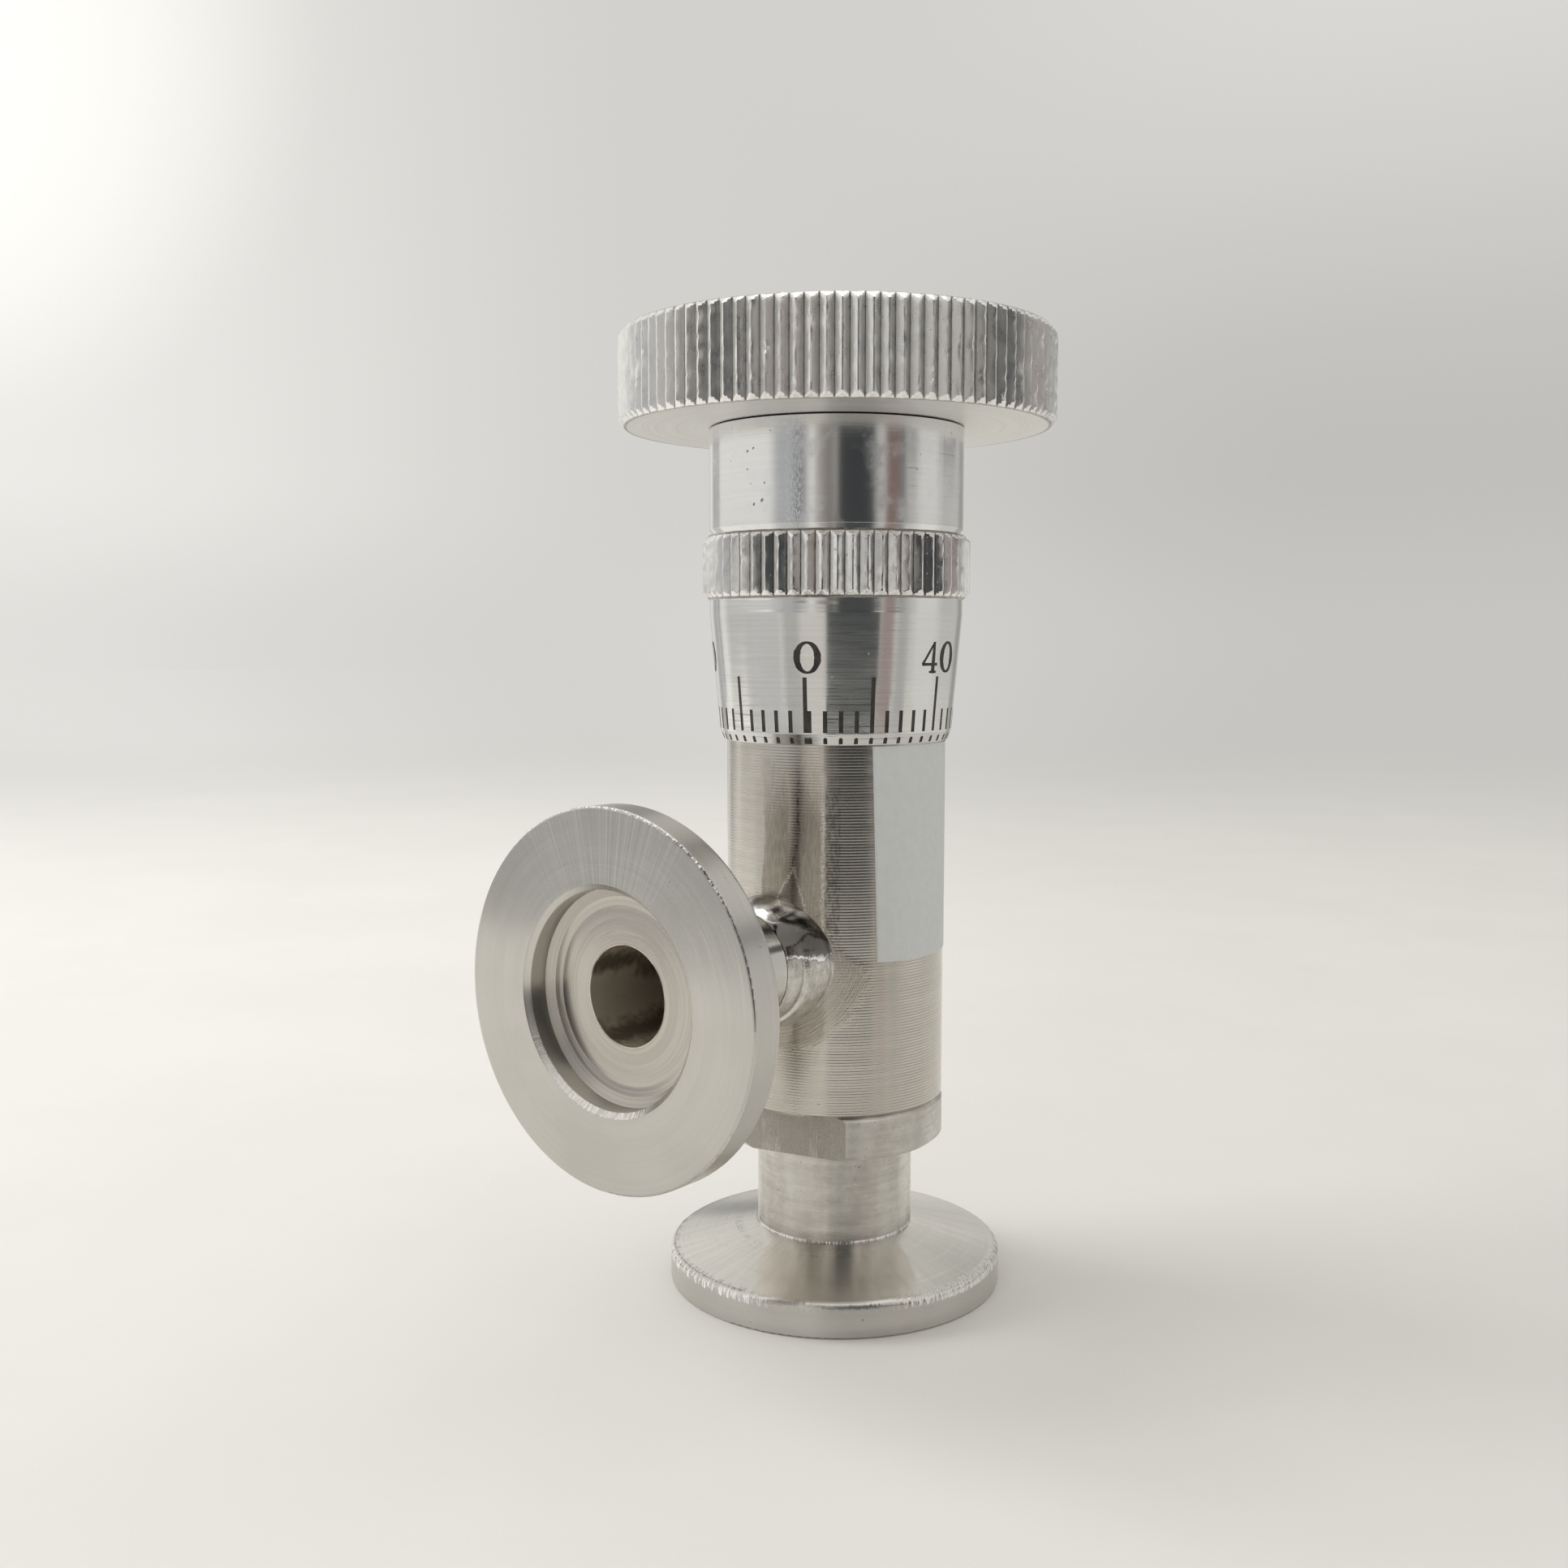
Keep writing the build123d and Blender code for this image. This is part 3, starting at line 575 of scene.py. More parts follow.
@dataclass(frozen=True)
class NeckFinish(TurnedFinish):
    """Polished sleeve with hazy patches, upright scuffs, a painted highlight on its foot chamfer
    and a painted shadow in the joint under the wheel.
    """

    wall: float = 11.2
    joint: float = 76.24
    scuff: float = -71.5
    chamfer_top: float = 67.56
    chips: tuple[tuple[float, float, float], ...] = (
        (-94.6, 73.6, 0.13),
        (-91.3, 73.8, 0.11),
        (-94.7, 72.1, 0.1),
        (-85.3, 70.9, 0.1),
        (-86.6, 69.5, 0.17),
        (-90.9, 69.2, 0.13),
        (-92.8, 70.9, 0.07),
        (-16.8, 72.0, 0.07),
        (-82.4, 75.1, 0.07),
    )

    def haze(self, skin: Skin) -> Value:
        """Mask of cloudy patches and of the scuffed strip.

        Args:
            skin: nodes and coordinates of the surface.

        Returns:
            Value from 0 on clear metal to 1 on the haze.
        """
        cloud = skin.ease(skin.noise(skin.point, 0.40, 3.0, 0.6), 0.42, 0.72)
        bearing = skin.angle * DEGREES - self.scuff
        strip = skin.fade(abs(bearing), 1.5, 6.5)
        lines = skin.vector(skin.angle * 95.0, skin.z * 2.6, 0.0)
        scuffs = skin.ease(skin.noise(lines, 1.0, 4.0, 0.75), 0.44, 0.60)
        return skin.larger(cloud * 0.6, strip * scuffs)

    def chipped(self, skin: Skin) -> Value:
        """Mask of the few larger pits.

        Args:
            skin: nodes and coordinates of the surface.

        Returns:
            Value that is 1 in the pits.
        """
        wave = skin.noise(skin.point, 6.0, 2.0, 0.6)
        result = 0.0
        for bearing, height, size in self.chips:
            spot = ring_point(bearing, self.wall, height)
            away = skin.vectors("SUBTRACT", skin.point, tuple(spot))
            reach = skin.math("SQRT", skin.dot(away, away))
            ragged = reach + (wave - 0.5) * (size * 1.4)
            result = skin.larger(result, skin.fade(ragged, size * 0.6, size))
        return result

    def metal_tone(self, skin: Skin) -> Value:
        """Bright metal, bluish white on the scuffs and haze as a partly painted reflection, with a
        painted highlight on the foot chamfer, dark in the pits and painted black shadow in the
        joint.

        Args:
            skin: nodes and coordinates of the surface.

        Returns:
            Value with the colour.
        """
        tone = super().metal_tone(skin)
        # Real scuffs and haze, turned bluish white as a painted reflection of daylight.
        tone = skin.mix(self.haze(skin) * 0.7, tone, Tone.SCUFF_AND_REFLECTION)
        # Painted highlight along the lower edge of the sleeve, on its foot chamfer.
        tone = skin.mix(
            skin.fade(skin.z, self.chamfer_top - 0.04, self.chamfer_top), tone, Tone.CHAMFER_HIGHLIGHT
        )
        tone = skin.mix(self.chipped(skin) * 0.85, tone, Tone.CHIP)
        # Painted shadow: black in the thin gap under the wheel.
        return skin.mix(skin.ease(skin.z, self.joint, self.joint + 0.04), tone, Tone.JOINT_SHADOW)

    def relief(self, skin: Skin) -> Value:
        """Fine rings, with the worn chamfer at the foot rolled over into the wall.

        Args:
            skin: nodes and coordinates of the surface.

        Returns:
            Value with the normal.
        """
        foot = skin.fade(skin.z, self.chamfer_top - 0.04, self.chamfer_top)
        normal = skin.lifted(foot * 0.70)
        speck = skin.bump(
            skin.noise(skin.point, 9.0, 3.0, 0.7), 0.0012, skin.leaned(self.rings(skin), normal)
        )
        return skin.bump(1.0 - self.chipped(skin), PIT_DEPTH, speck)

    def polish(self, skin: Skin) -> Level:
        """Roughness that rises on the haze and the scuffs."""
        return skin.between(self.haze(skin), self.roughness, self.roughness * 2.2)


@dataclass(frozen=True)
class ThimbleFinish(TurnedFinish):
    """Satin cone whose grooves are black and whose lower bevel is a little duller."""

    bevel_z: float = 50.1
    cone_top_z: float = 60.15
    base_radius: float = 10.3
    hub_radius: float = 11.2

    def metal_tone(self, skin: Skin) -> Value:
        """Pale metal with black in the engraved marks.

        Args:
            skin: nodes and coordinates of the surface.

        Returns:
            Value with the colour.
        """
        tone = super().metal_tone(skin)
        bevel = skin.fade(skin.z, self.bevel_z - 0.03, self.bevel_z)
        tone = skin.mix(bevel, tone, Tone.BEVEL)
        slope = (self.hub_radius - self.base_radius) / (self.cone_top_z - self.bevel_z)
        cone = self.base_radius + (skin.z - self.bevel_z) * slope
        sunk = skin.ease(cone - skin.radius, 0.02, 0.035)
        within = (
            sunk
            * skin.inside(skin.z, self.bevel_z + 0.05, 56.0, 0.02)
            * skin.ease(skin.radius, 10.0, 10.05)
        )
        return skin.mix(within, tone, Tone.BLACK_FILL)

    def relief(self, skin: Skin) -> Value:
        """Fine rings, with the bevel leaning less than it does.

        Args:
            skin: nodes and coordinates of the surface.

        Returns:
            Value with the normal.
        """
        bevel = skin.fade(skin.z, self.bevel_z - 0.03, self.bevel_z)
        normal = skin.leaned(self.rings(skin), skin.lifted(bevel * 0.20))
        return skin.bump(1.0 - self.pitted(skin), PIT_DEPTH, normal)


@dataclass(frozen=True)
class BarrelFinish(TurnedFinish):
    """Turned stainless tube whose side was dressed by hand above and below the weld."""

    facets: tuple[tuple[float, float], ...] = ((-84.3, 7.6), (-65.2, 6.9))
    fade_low: float = 43.0
    fade_high: float = 56.0
    fork: tuple[float, float] = (-74.5, 38.7)
    step: float = -58.4
    per_degree: float = 0.1693

    def bearing(self, skin: Skin, middle: float) -> Value:
        """Angle in degrees from one bearing on the tube."""
        return skin.angle * DEGREES - middle

    def rubbed(self, skin: Skin, middle: float, half: float) -> Value:
        """Mask of one hand-dressed facet, with soft ragged edges.

        Args:
            skin: nodes and coordinates of the surface.
            middle: bearing of the facet's middle in degrees.
            half: half its width in degrees.

        Returns:
            Value that is 1 on the facet.
        """
        upright = skin.vectors("MULTIPLY", skin.point, (1.0, 1.0, 0.45))
        ragged = skin.noise(upright, 1.6, 4.0, 0.7)
        broad = skin.noise(upright, 0.45, 1.0)
        wander = (ragged - 0.5) * 4.0 + (broad - 0.5) * 13.0
        across = abs(self.bearing(skin, middle))
        side = skin.fade(across + wander, half - 2.6, half + 1.6)
        top = skin.z + ragged * 6.0
        return side * skin.fade(top, self.fade_low, self.fade_high) * skin.ease(skin.z, 20.5, 26.0)

    def aside(self, skin: Skin, middle: float) -> Value:
        """Millimetres round the tube from one bearing."""
        return self.bearing(skin, middle) * self.per_degree

    def jagged(self, skin: Skin, across: Level, half: float) -> Value:
        """Mask of a ragged line where a distance is near zero.

        Args:
            skin: nodes and coordinates of the surface.
            across: distance from the line in millimetres.
            half: half the line's width.

        Returns:
            Value that is 1 on the line.
        """
        wave = skin.noise(skin.point, 3.2, 4.0, 0.75)
        off = across + (wave - 0.5) * 0.75
        line = skin.fade(abs(off), half * 0.3, half)
        return line * skin.ease(skin.noise(skin.point, 7.0, 2.0), 0.40, 0.55)

    def forked(self, skin: Skin) -> tuple[Value, Value]:
        """Edge and inside of the file marks that fork above the weld.

        Args:
            skin: nodes and coordinates of the surface.

        Returns:
            Value that is 1 on the edges, and one that is 1 between them.
        """
        bearing, top = self.fork
        aside = self.aside(skin, bearing)
        drop = top - skin.z
        left = aside + drop * 0.62
        right = aside + drop * -0.28
        height = skin.inside(skin.z, 34.4, top, 0.2)
        edge = skin.larger(self.jagged(skin, left, 0.22), self.jagged(skin, right, 0.18))
        within = skin.ease(left, 0.0, 0.15) * skin.fade(right, -0.15, 0.0) * height
        return edge * height, within

    def swirled(self, skin: Skin) -> tuple[Value, Value]:
        """Distance from the side port's axis, and mask of the ground ring round the weld.

        Args:
            skin: nodes and coordinates of the surface.

        Returns:
            Value with the distance, and one that is 1 on the ground ring.
        """
        rise = skin.z - PORT_HEIGHT
        squares = skin.x ** 2.0 + rise ** 2.0
        reach = skin.math("SQRT", squares)
        ragged = skin.noise(skin.point, 0.9, 3.0, 0.6) * 1.6
        low = skin.ease(rise, -1.0, 2.0, 1.9, 0.0)
        edge = reach + ragged - low
        near = skin.fade(edge, 6.4, 7.4) * skin.fade(skin.y, -2.0, -1.0)
        return reach, near

    def zones(self, skin: Skin) -> list[Value]:
        """Masks of the dressed facets."""
        return [self.rubbed(skin, middle, half) for middle, half in self.facets]

    def metal_tone(self, skin: Skin) -> Value:
        """Steel tone, olive on the dressed facets, with dark and bright file marks, painted shade
        in the groove roots and beside the dark ridge line.

        Args:
            skin: nodes and coordinates of the surface.

        Returns:
            Value with the colour.
        """
        tone = super().metal_tone(skin)
        past = self.bearing(skin, self.step)
        untouched = skin.inside(past, -0.3, 38.0, 0.7) * skin.ease(skin.z, 30.0, 37.0)
        # Painted shade in the roots of the feed grooves, where the grooves are kept.
        roots = skin.ease(self.grooves(skin), -1.0, -0.2, 0.42, 0.0) * self.kept(skin)
        tone = skin.scaled(tone, skin.between(untouched, 1.0, 0.84))
        tone = skin.mix(roots, tone, Tone.GROOVE_ROOT_SHADE)
        filed = skin.mix(
            skin.ease(self.strokes(skin), 0.35, 0.65), Tone.FILED_DARK, Tone.FILED_PALE
        )
        for zone in self.zones(skin):
            tone = skin.mix(zone * 0.85, tone, filed)
        tone = skin.mix(self.swirled(skin)[1] * 0.75, tone, Tone.GROUND_RING)
        curve = skin.ease(skin.z, 38.0, 42.5, -75.4, -72.3)
        ridge = abs(self.bearing(skin, 0.0) - curve)
        speck = skin.noise(skin.vectors("MULTIPLY", skin.point, (1.0, 1.0, 0.35)), 5.0, 3.0, 0.7)
        length = skin.ease(skin.z, 33.0, 36.0) * skin.fade(skin.z, 44.0, 49.5)
        # A dark line along the ridge between the facets, with painted shade a few degrees to each
        # side.
        dark = skin.fade(ridge, 0.4, 2.1) * skin.ease(speck, 0.35, 0.6) * length
        shadow = skin.ease(ridge, 0.0, 5.5, 0.45, 0.0) * length
        tone = skin.mix(skin.larger(dark * 0.85, shadow), tone, Tone.RIDGE_AND_SHADE)
        edge, within = self.forked(skin)
        tone = skin.mix(within * 0.4, tone, Tone.FORK)
        strip = (
            skin.inside(past, 0.6, 7.0, 1.2)
            * skin.ease(speck, 0.42, 0.58)
            * skin.inside(skin.z, 34.0, 44.5, 2.5)
        )
        tone = skin.mix(strip * 0.6, tone, Tone.STRIP)
        step = (
            self.jagged(skin, self.aside(skin, self.step - 1.2), 0.24)
            * skin.inside(skin.z, 32.0, 43.0, 2.0)
        )
        tone = skin.mix(skin.larger(edge, step) * 0.8, tone, Tone.FILE_EDGE)
        sunk = skin.fade(skin.radius, 9.6, 9.67)
        scale = sunk * skin.ease(skin.z, 49.0, 49.1) * skin.ease(skin.radius, 9.0, 9.1)
        return skin.mix(scale, tone, Tone.BLACK_FILL)

    def grooves(self, skin: Skin) -> Value:
        """Height of the feed grooves, from -1 to 1.

        Args:
            skin: nodes and coordinates of the surface.

        Returns:
            Value with the height.
        """
        drift = skin.noise(skin.stretched(0.4, 1.0), 1.0, 1.0)
        phase = skin.z * (2 * math.pi / self.pitch) + drift * 1.2
        return skin.math("SINE", phase)

    def strokes(self, skin: Skin) -> Value:
        """Short upright file strokes."""
        upright = skin.vector(skin.angle * 60.0, skin.angle * 11.0, skin.z * 1.1)
        return skin.noise(upright, 1.0, 3.0, 0.65)

    def kept(self, skin: Skin) -> Value:
        """Share of the grooves that the file and the grinder left.

        Args:
            skin: nodes and coordinates of the surface.

        Returns:
            Value with the share.
        """
        left = 1.0
        for zone in self.zones(skin):
            left = left * (1.0 - zone * 0.9)
        return left * (1.0 - self.swirled(skin)[1] * 0.9)

    def relief(self, skin: Skin) -> Value:
        """Regular feed grooves, rubbed flat in two facets and ground away round the weld.

        Args:
            skin: nodes and coordinates of the surface.

        Returns:
            Value with the normal.
        """
        normal = skin.normal
        for (middle, _), zone in zip(self.facets, self.zones(skin)):
            turn = math.radians(middle)
            flat = skin.scaled((math.cos(turn), math.sin(turn), -0.02), zone * zone * 4.0)
            normal = skin.unit(skin.added(normal, flat))
        reach, near = self.swirled(skin)
        left = self.kept(skin)
        strength = skin.ease(skin.noise(skin.stretched(2.3, 0.6), 1.0, 2.0), 0.3, 0.7, 0.65, 1.2)
        wave = self.grooves(skin)
        hair = skin.noise(skin.stretched(14.0, 2.0), 1.0, 2.0, 0.6)
        slope = left * (wave * wave * wave * strength * self.groove + (hair - 0.5) * self.hairline)
        normal = skin.leaned(slope, normal)
        rubbed = self.strokes(skin) * (1.0 - left) * (1.0 - near)
        normal = skin.bump(rubbed, 0.006, normal)
        arcs = skin.vector(reach * 6.0, skin.z * 0.5, 0.0)
        normal = skin.bump(skin.noise(arcs, 1.0, 3.0, 0.7) * near, PIT_DEPTH, normal)
        return skin.bump(1.0 - self.pitted(skin), PIT_DEPTH, normal)


@dataclass(frozen=True)
class PortFinish(TurnedFinish):
    """Turned flange whose bore is dull and brown inside, with chatter on its rounded edges; its
    colour holds painted highlights on the chatter, painted sheen rays on the face and painted
    reflection streaks in the bore.
    """

    bore: float = 4.06
    # Brown of the bore, lightened so that its streaks carry a painted reflection.
    bore_tone_and_reflection: Colour = (0.66, 0.585, 0.47)
    face: float = 29.4
    sheen: float = 0.32
    recess: float = 8.62
    dished: Colour = (0.47, 0.445, 0.405)
    pit: tuple[float, float] = (26.8, 29.6)
    edge: float = 28.95
    swing: float = 0.6
    lift: float = 0.0
    lowest: float = 0.08

    def in_bore(self, skin: Skin) -> Value:
        """Mask of the bore wall."""
        return skin.fade(skin.radius, self.bore, self.bore + 0.05)

    def metal_tone(self, skin: Skin) -> Value:
        """Bright metal outside with painted sheen rays on its face and painted highlights on the
        chatter marks, stained metal with painted reflection streaks in the bore.

        Args:
            skin: nodes and coordinates of the surface.

        Returns:
            Value with the colour.
        """
        tone = super().metal_tone(skin)
        # Painted sheen: pale radial rays near the top of the face stand in for the highlight
        # streaks of the turned face.
        rays = skin.ease(skin.noise(skin.stretched(0.03, 70.0), 1.0, 3.0, 0.75), 0.44, 0.66)
        sector = skin.fade(abs(skin.angle - math.pi / 2), 0.15, 0.95)
        faced = skin.ease(skin.height, self.face, self.face + 0.05)
        tone = skin.scaled(tone, skin.between(faced, 1.0, 0.87))
        tone = skin.mix(faced * sector * rays * self.sheen, tone, Tone.FACE_SHEEN)
        sunk = (
            skin.fade(skin.radius, self.recess, self.recess + 0.06)
            * skin.ease(skin.facing, 0.05, 0.6, 0.35, 1.0)
            * skin.inside(skin.height, *self.pit, 0.05)
        )
        lines = skin.noise(skin.stretched(5.0, 0.4), 1.0, 2.0, 0.6)
        dish = skin.mix(
            skin.ease(lines, 0.35, 0.65), self.dished, tuple(level * 1.14 for level in self.dished)
        )
        tone = skin.mix(sunk, tone, dish)
        slant = skin.vector(
            skin.math("COSINE", skin.angle) * 1.5, skin.math("SINE", skin.angle) * 1.5,
            skin.height * 0.16,
        )
        # Stains in the bore run along its axis; their lighter streaks are painted reflection bands
        # on the brown metal.
        stain_and_reflection = skin.noise(slant, 1.0, 1.0) * 0.75 + skin.noise(skin.point, 1.6, 4.0) * 0.25
        # Painted highlight on the chatter marks of the rims.
        tone = skin.mix(self.chatter_glint(skin), tone, Tone.CUT_HIGHLIGHT)
        inner = skin.mix(skin.ease(stain_and_reflection, 0.38, 0.60), Tone.BORE_STAIN, self.bore_tone_and_reflection)
        inner = skin.mix(skin.dots(skin.point, 1.1, 0.12, 0.22), inner, Tone.BORE_PIT)
        return skin.mix(self.in_bore(skin), tone, inner)

    def ripple(self, skin: Skin) -> Value:
        """Pattern that changes quickly round the axis."""
        return skin.noise(skin.stretched(0.8, 75.0), 1.0, 2.0, 0.6)

    def chatter_glint(self, skin: Skin) -> Value:
        """Mask of the marks that the chattering tool left, which get a painted highlight."""
        return skin.ease(self.ripple(skin), 0.48, 0.58) * self.chatter(skin)

    def cut_arc(self, skin: Skin) -> Level:
        """Mask of the arc of the rim that the tool cut roughly."""
        away = abs(skin.angle - math.pi / 2)
        return skin.fade(away, 0.65, 1.2)

    def chatter(self, skin: Skin) -> Value:
        """Mask of the rounded rim and of the recess edge, where the tool chattered.

        Args:
            skin: nodes and coordinates of the surface.

        Returns:
            Value that is 1 where the tool chattered.
        """
        ragged = self.ripple(skin) - 0.5
        rim = skin.ease(skin.radius, 14.2, 14.3) * self.cut_arc(skin)
        below = skin.inside(skin.angle, -2.6, -1.2, 0.3)
        recess = skin.inside(skin.radius, 8.62, 9.06, 0.03) * below
        slanting = (
            skin.ease(skin.facing, self.lowest, self.lowest + 0.06)
            * skin.fade(skin.facing + ragged * 0.5, 0.90, 0.96)
        )
        front = skin.ease(skin.height + ragged * 0.9, self.edge, self.edge + 0.12)
        return (rim + recess * 0.6) * slanting * front

    def polish(self, skin: Skin) -> Level:
        """Roughness, higher on the outer rim and on the recess wall.

        Args:
            skin: nodes and coordinates of the surface.

        Returns:
            Level of the roughness.
        """
        turned = skin.fade(skin.facing, 0.10, 0.20)
        rim = skin.ease(skin.radius, 8.3, 8.4) * turned
        rounded = skin.between(skin.inside(skin.facing, 0.16, 0.92, 0.05), 1.0, 1.7)
        cut = skin.between(self.chatter(skin), rounded, 0.7)
        return super().polish(skin) * skin.between(rim, 1.0, 2.0) * cut

    def relief(self, skin: Skin) -> Value:
        """Tool rings, and short ripples across the rounded edges.

        Args:
            skin: nodes and coordinates of the surface.

        Returns:
            Value with the normal.
        """
        ripple = self.ripple(skin)
        swing = (ripple - 0.5) * self.chatter(skin) * 1.1
        raised = self.chatter(skin) * self.lift
        slope = self.rings(skin) + swing * self.swing + raised
        normal = skin.leaned(slope, skin.unit(skin.twisted(swing)))
        return skin.bump(1.0 - self.pitted(skin), PIT_DEPTH, normal)

    def metallic(self, skin: Skin) -> Level:
        """Share of metal, lower in the bore and on the chatter marks that carry the painted
        highlight.
        """
        bored = skin.between(self.in_bore(skin), 1.0, 0.55)
        return bored * skin.between(self.chatter_glint(skin), 1.0, 0.25)


@dataclass(frozen=True)
class FittingFinish(PortFinish):
    """Turned fitting with a milled pair of wrench flats."""

    flats_angle: float = -77.5
    flats_reach: float = 8.48
    face: float = 99.0
    pit: tuple[float, float] = (-0.1, 2.6)
    edge: float = 2.26
    swing: float = 2.4
    lift: float = 0.5
    lowest: float = -0.2

    def cut_arc(self, skin: Skin) -> Level:
        """Mask of the rim, weaker where it was smoothed near the front."""
        away = abs(skin.angle + 0.93)
        return skin.ease(away, 0.28, 0.55, 0.15, 1.0)

    def foot_line(self, skin: Skin) -> Value:
        """Mask of the small fillet between neck and flange."""
        return skin.inside(skin.z, 5.05, 5.28, 0.08) * skin.fade(skin.radius, 7.1, 7.25)

    def upper(self, skin: Skin) -> Value:
        """Mask of the neck and the collar."""
        neck = skin.fade(skin.radius, 7.08, 7.2) * skin.ease(skin.z, 5.05, 5.15)
        return skin.larger(neck, skin.inside(skin.z, 13.38, 17.15, 0.04))

    def cone(self, skin: Skin) -> Value:
        """Mask of the flange's sloping back.

        Args:
            skin: nodes and coordinates of the surface.

        Returns:
            Value that is 1 on the sloping back.
        """
        return (
            skin.ease(skin.facing, 0.90, 0.95)
            * skin.inside(skin.z, 2.9, 5.3, 0.1)
            * skin.ease(skin.radius, 7.1, 7.2)
        )

    def across_flats(self, skin: Skin, low: float, high: float) -> Value:
        """Mask of the collar between two distances from the plane of the wrench flats.

        Args:
            skin: nodes and coordinates of the surface.
            low: nearest distance, outwards from the flats.
            high: farthest distance.

        Returns:
            Value that is 1 between the two distances.
        """
        turn = math.radians(self.flats_angle)
        reach = skin.x * math.cos(turn) + skin.y * math.sin(turn)
        depth = abs(reach) - self.flats_reach
        return skin.inside(depth, low, high, 0.02) * skin.inside(skin.z, 13.4, 17.2, 0.02)

    def milled(self, skin: Skin) -> Value:
        """Mask of the two wrench flats."""
        return self.across_flats(skin, 0.0, 1.0)

    def metal_tone(self, skin: Skin) -> Value:
        """Flange metal, greyer and blotched on the neck with painted shade at its foot, sandy on
        the flats, with painted highlights on the flats' edges and along the fillet, and painted
        sheen streaks on the sloping back.

        Args:
            skin: nodes and coordinates of the surface.

        Returns:
            Value with the colour.
        """
        tone = super().metal_tone(skin)
        bands = skin.noise(skin.stretched(0.05, 2.4), 1.0, 2.0, 0.6)
        streaks = skin.noise(skin.stretched(1.6, 1.2), 1.0, 4.0, 0.7)
        smudge = skin.noise(skin.point, 1.1, 4.0, 0.7)
        share = bands * 0.4 + streaks * 0.35 + smudge * 0.25
        drab = skin.mix(skin.ease(share, 0.38, 0.62), Tone.NECK_DARK, Tone.NECK_PALE)
        neck = self.upper(skin)
        # Painted shade on the neck's foot, darkest where it meets the flange.
        foot = skin.ease(skin.z, 5.2, 6.4, 0.45, 0.0) * neck
        # Painted sheen: paler radial streaks across the flange's sloping back.
        fan = skin.ease(skin.noise(skin.stretched(0.25, 16.0), 1.0, 3.0, 0.7), 0.3, 0.7)
        sloping = skin.mix(fan, Tone.CONE_DARK, Tone.CONE_SHEEN)
        tone = skin.mix(self.cone(skin), tone, sloping)
        drab = skin.scaled(drab, skin.ease(skin.z, 13.3, 13.4, 1.0, 1.2))
        tone = skin.mix(neck, tone, drab)
        # Painted highlight along the fillet between neck and flange, broken by the chatter.
        bright = self.foot_line(skin) * skin.ease(self.ripple(skin), 0.42, 0.52)
        tone = skin.mix(foot, tone, Tone.NECK_FOOT_SHADE)
        sand = skin.noise(skin.point, 7.0, 4.0, 0.75)
        flat = skin.mix(skin.ease(sand, 0.34, 0.66), Tone.SAND_DARK, Tone.SAND_PALE)
        tone = skin.mix(self.milled(skin), tone, flat)
        # Painted highlight on the edges of the wrench flats.
        arris_highlight = self.across_flats(skin, -0.14, -0.03) * skin.ease(skin.radius, 9.5, 9.6)
        tone = skin.mix(arris_highlight * 0.6, tone, Tone.ARRIS_HIGHLIGHT)
        specks = skin.larger(
            skin.dots(skin.point, 2.2, 0.15, 0.16), skin.dots(skin.point, 0.9, 0.10, 0.16)
        )
        tone = skin.mix(bright, tone, Tone.CUT_HIGHLIGHT)
        return skin.mix(specks * neck * 0.7, tone, Tone.SPECK)

    def polish(self, skin: Skin) -> Level:
        """Roughness that is higher on the neck and the collar than on the flange.

        Args:
            skin: nodes and coordinates of the surface.

        Returns:
            Level of the roughness.
        """
        collar = skin.ease(skin.z, 13.3, 13.4, 1.1, 0.85)
        upper = skin.between(self.upper(skin), 0.62, collar)
        cone = self.cone(skin) * 0.12
        flat = skin.between(self.milled(skin), 1.0, 1.7)
        return super().polish(skin) * (upper + cone) * flat

    def relief(self, skin: Skin) -> Value:
        """Tool rings, with short crossed strokes and grain on the flats.

        Args:
            skin: nodes and coordinates of the surface.

        Returns:
            Value with the normal.
        """
        lift = self.foot_line(skin) * self.ripple(skin) * 1.7
        rings = skin.lifted(lift, super().relief(skin))
        strokes = skin.vector(skin.x * 9.0, skin.y * 9.0, skin.z * 2.0 + skin.x * 1.5)
        milled = skin.noise(strokes, 1.0, 4.0, 0.7) * self.milled(skin)
        grain = skin.noise(skin.point, 6.0, 3.0, 0.7) * self.upper(skin)
        return skin.bump(grain, 0.004, skin.bump(milled, 0.010, rings))


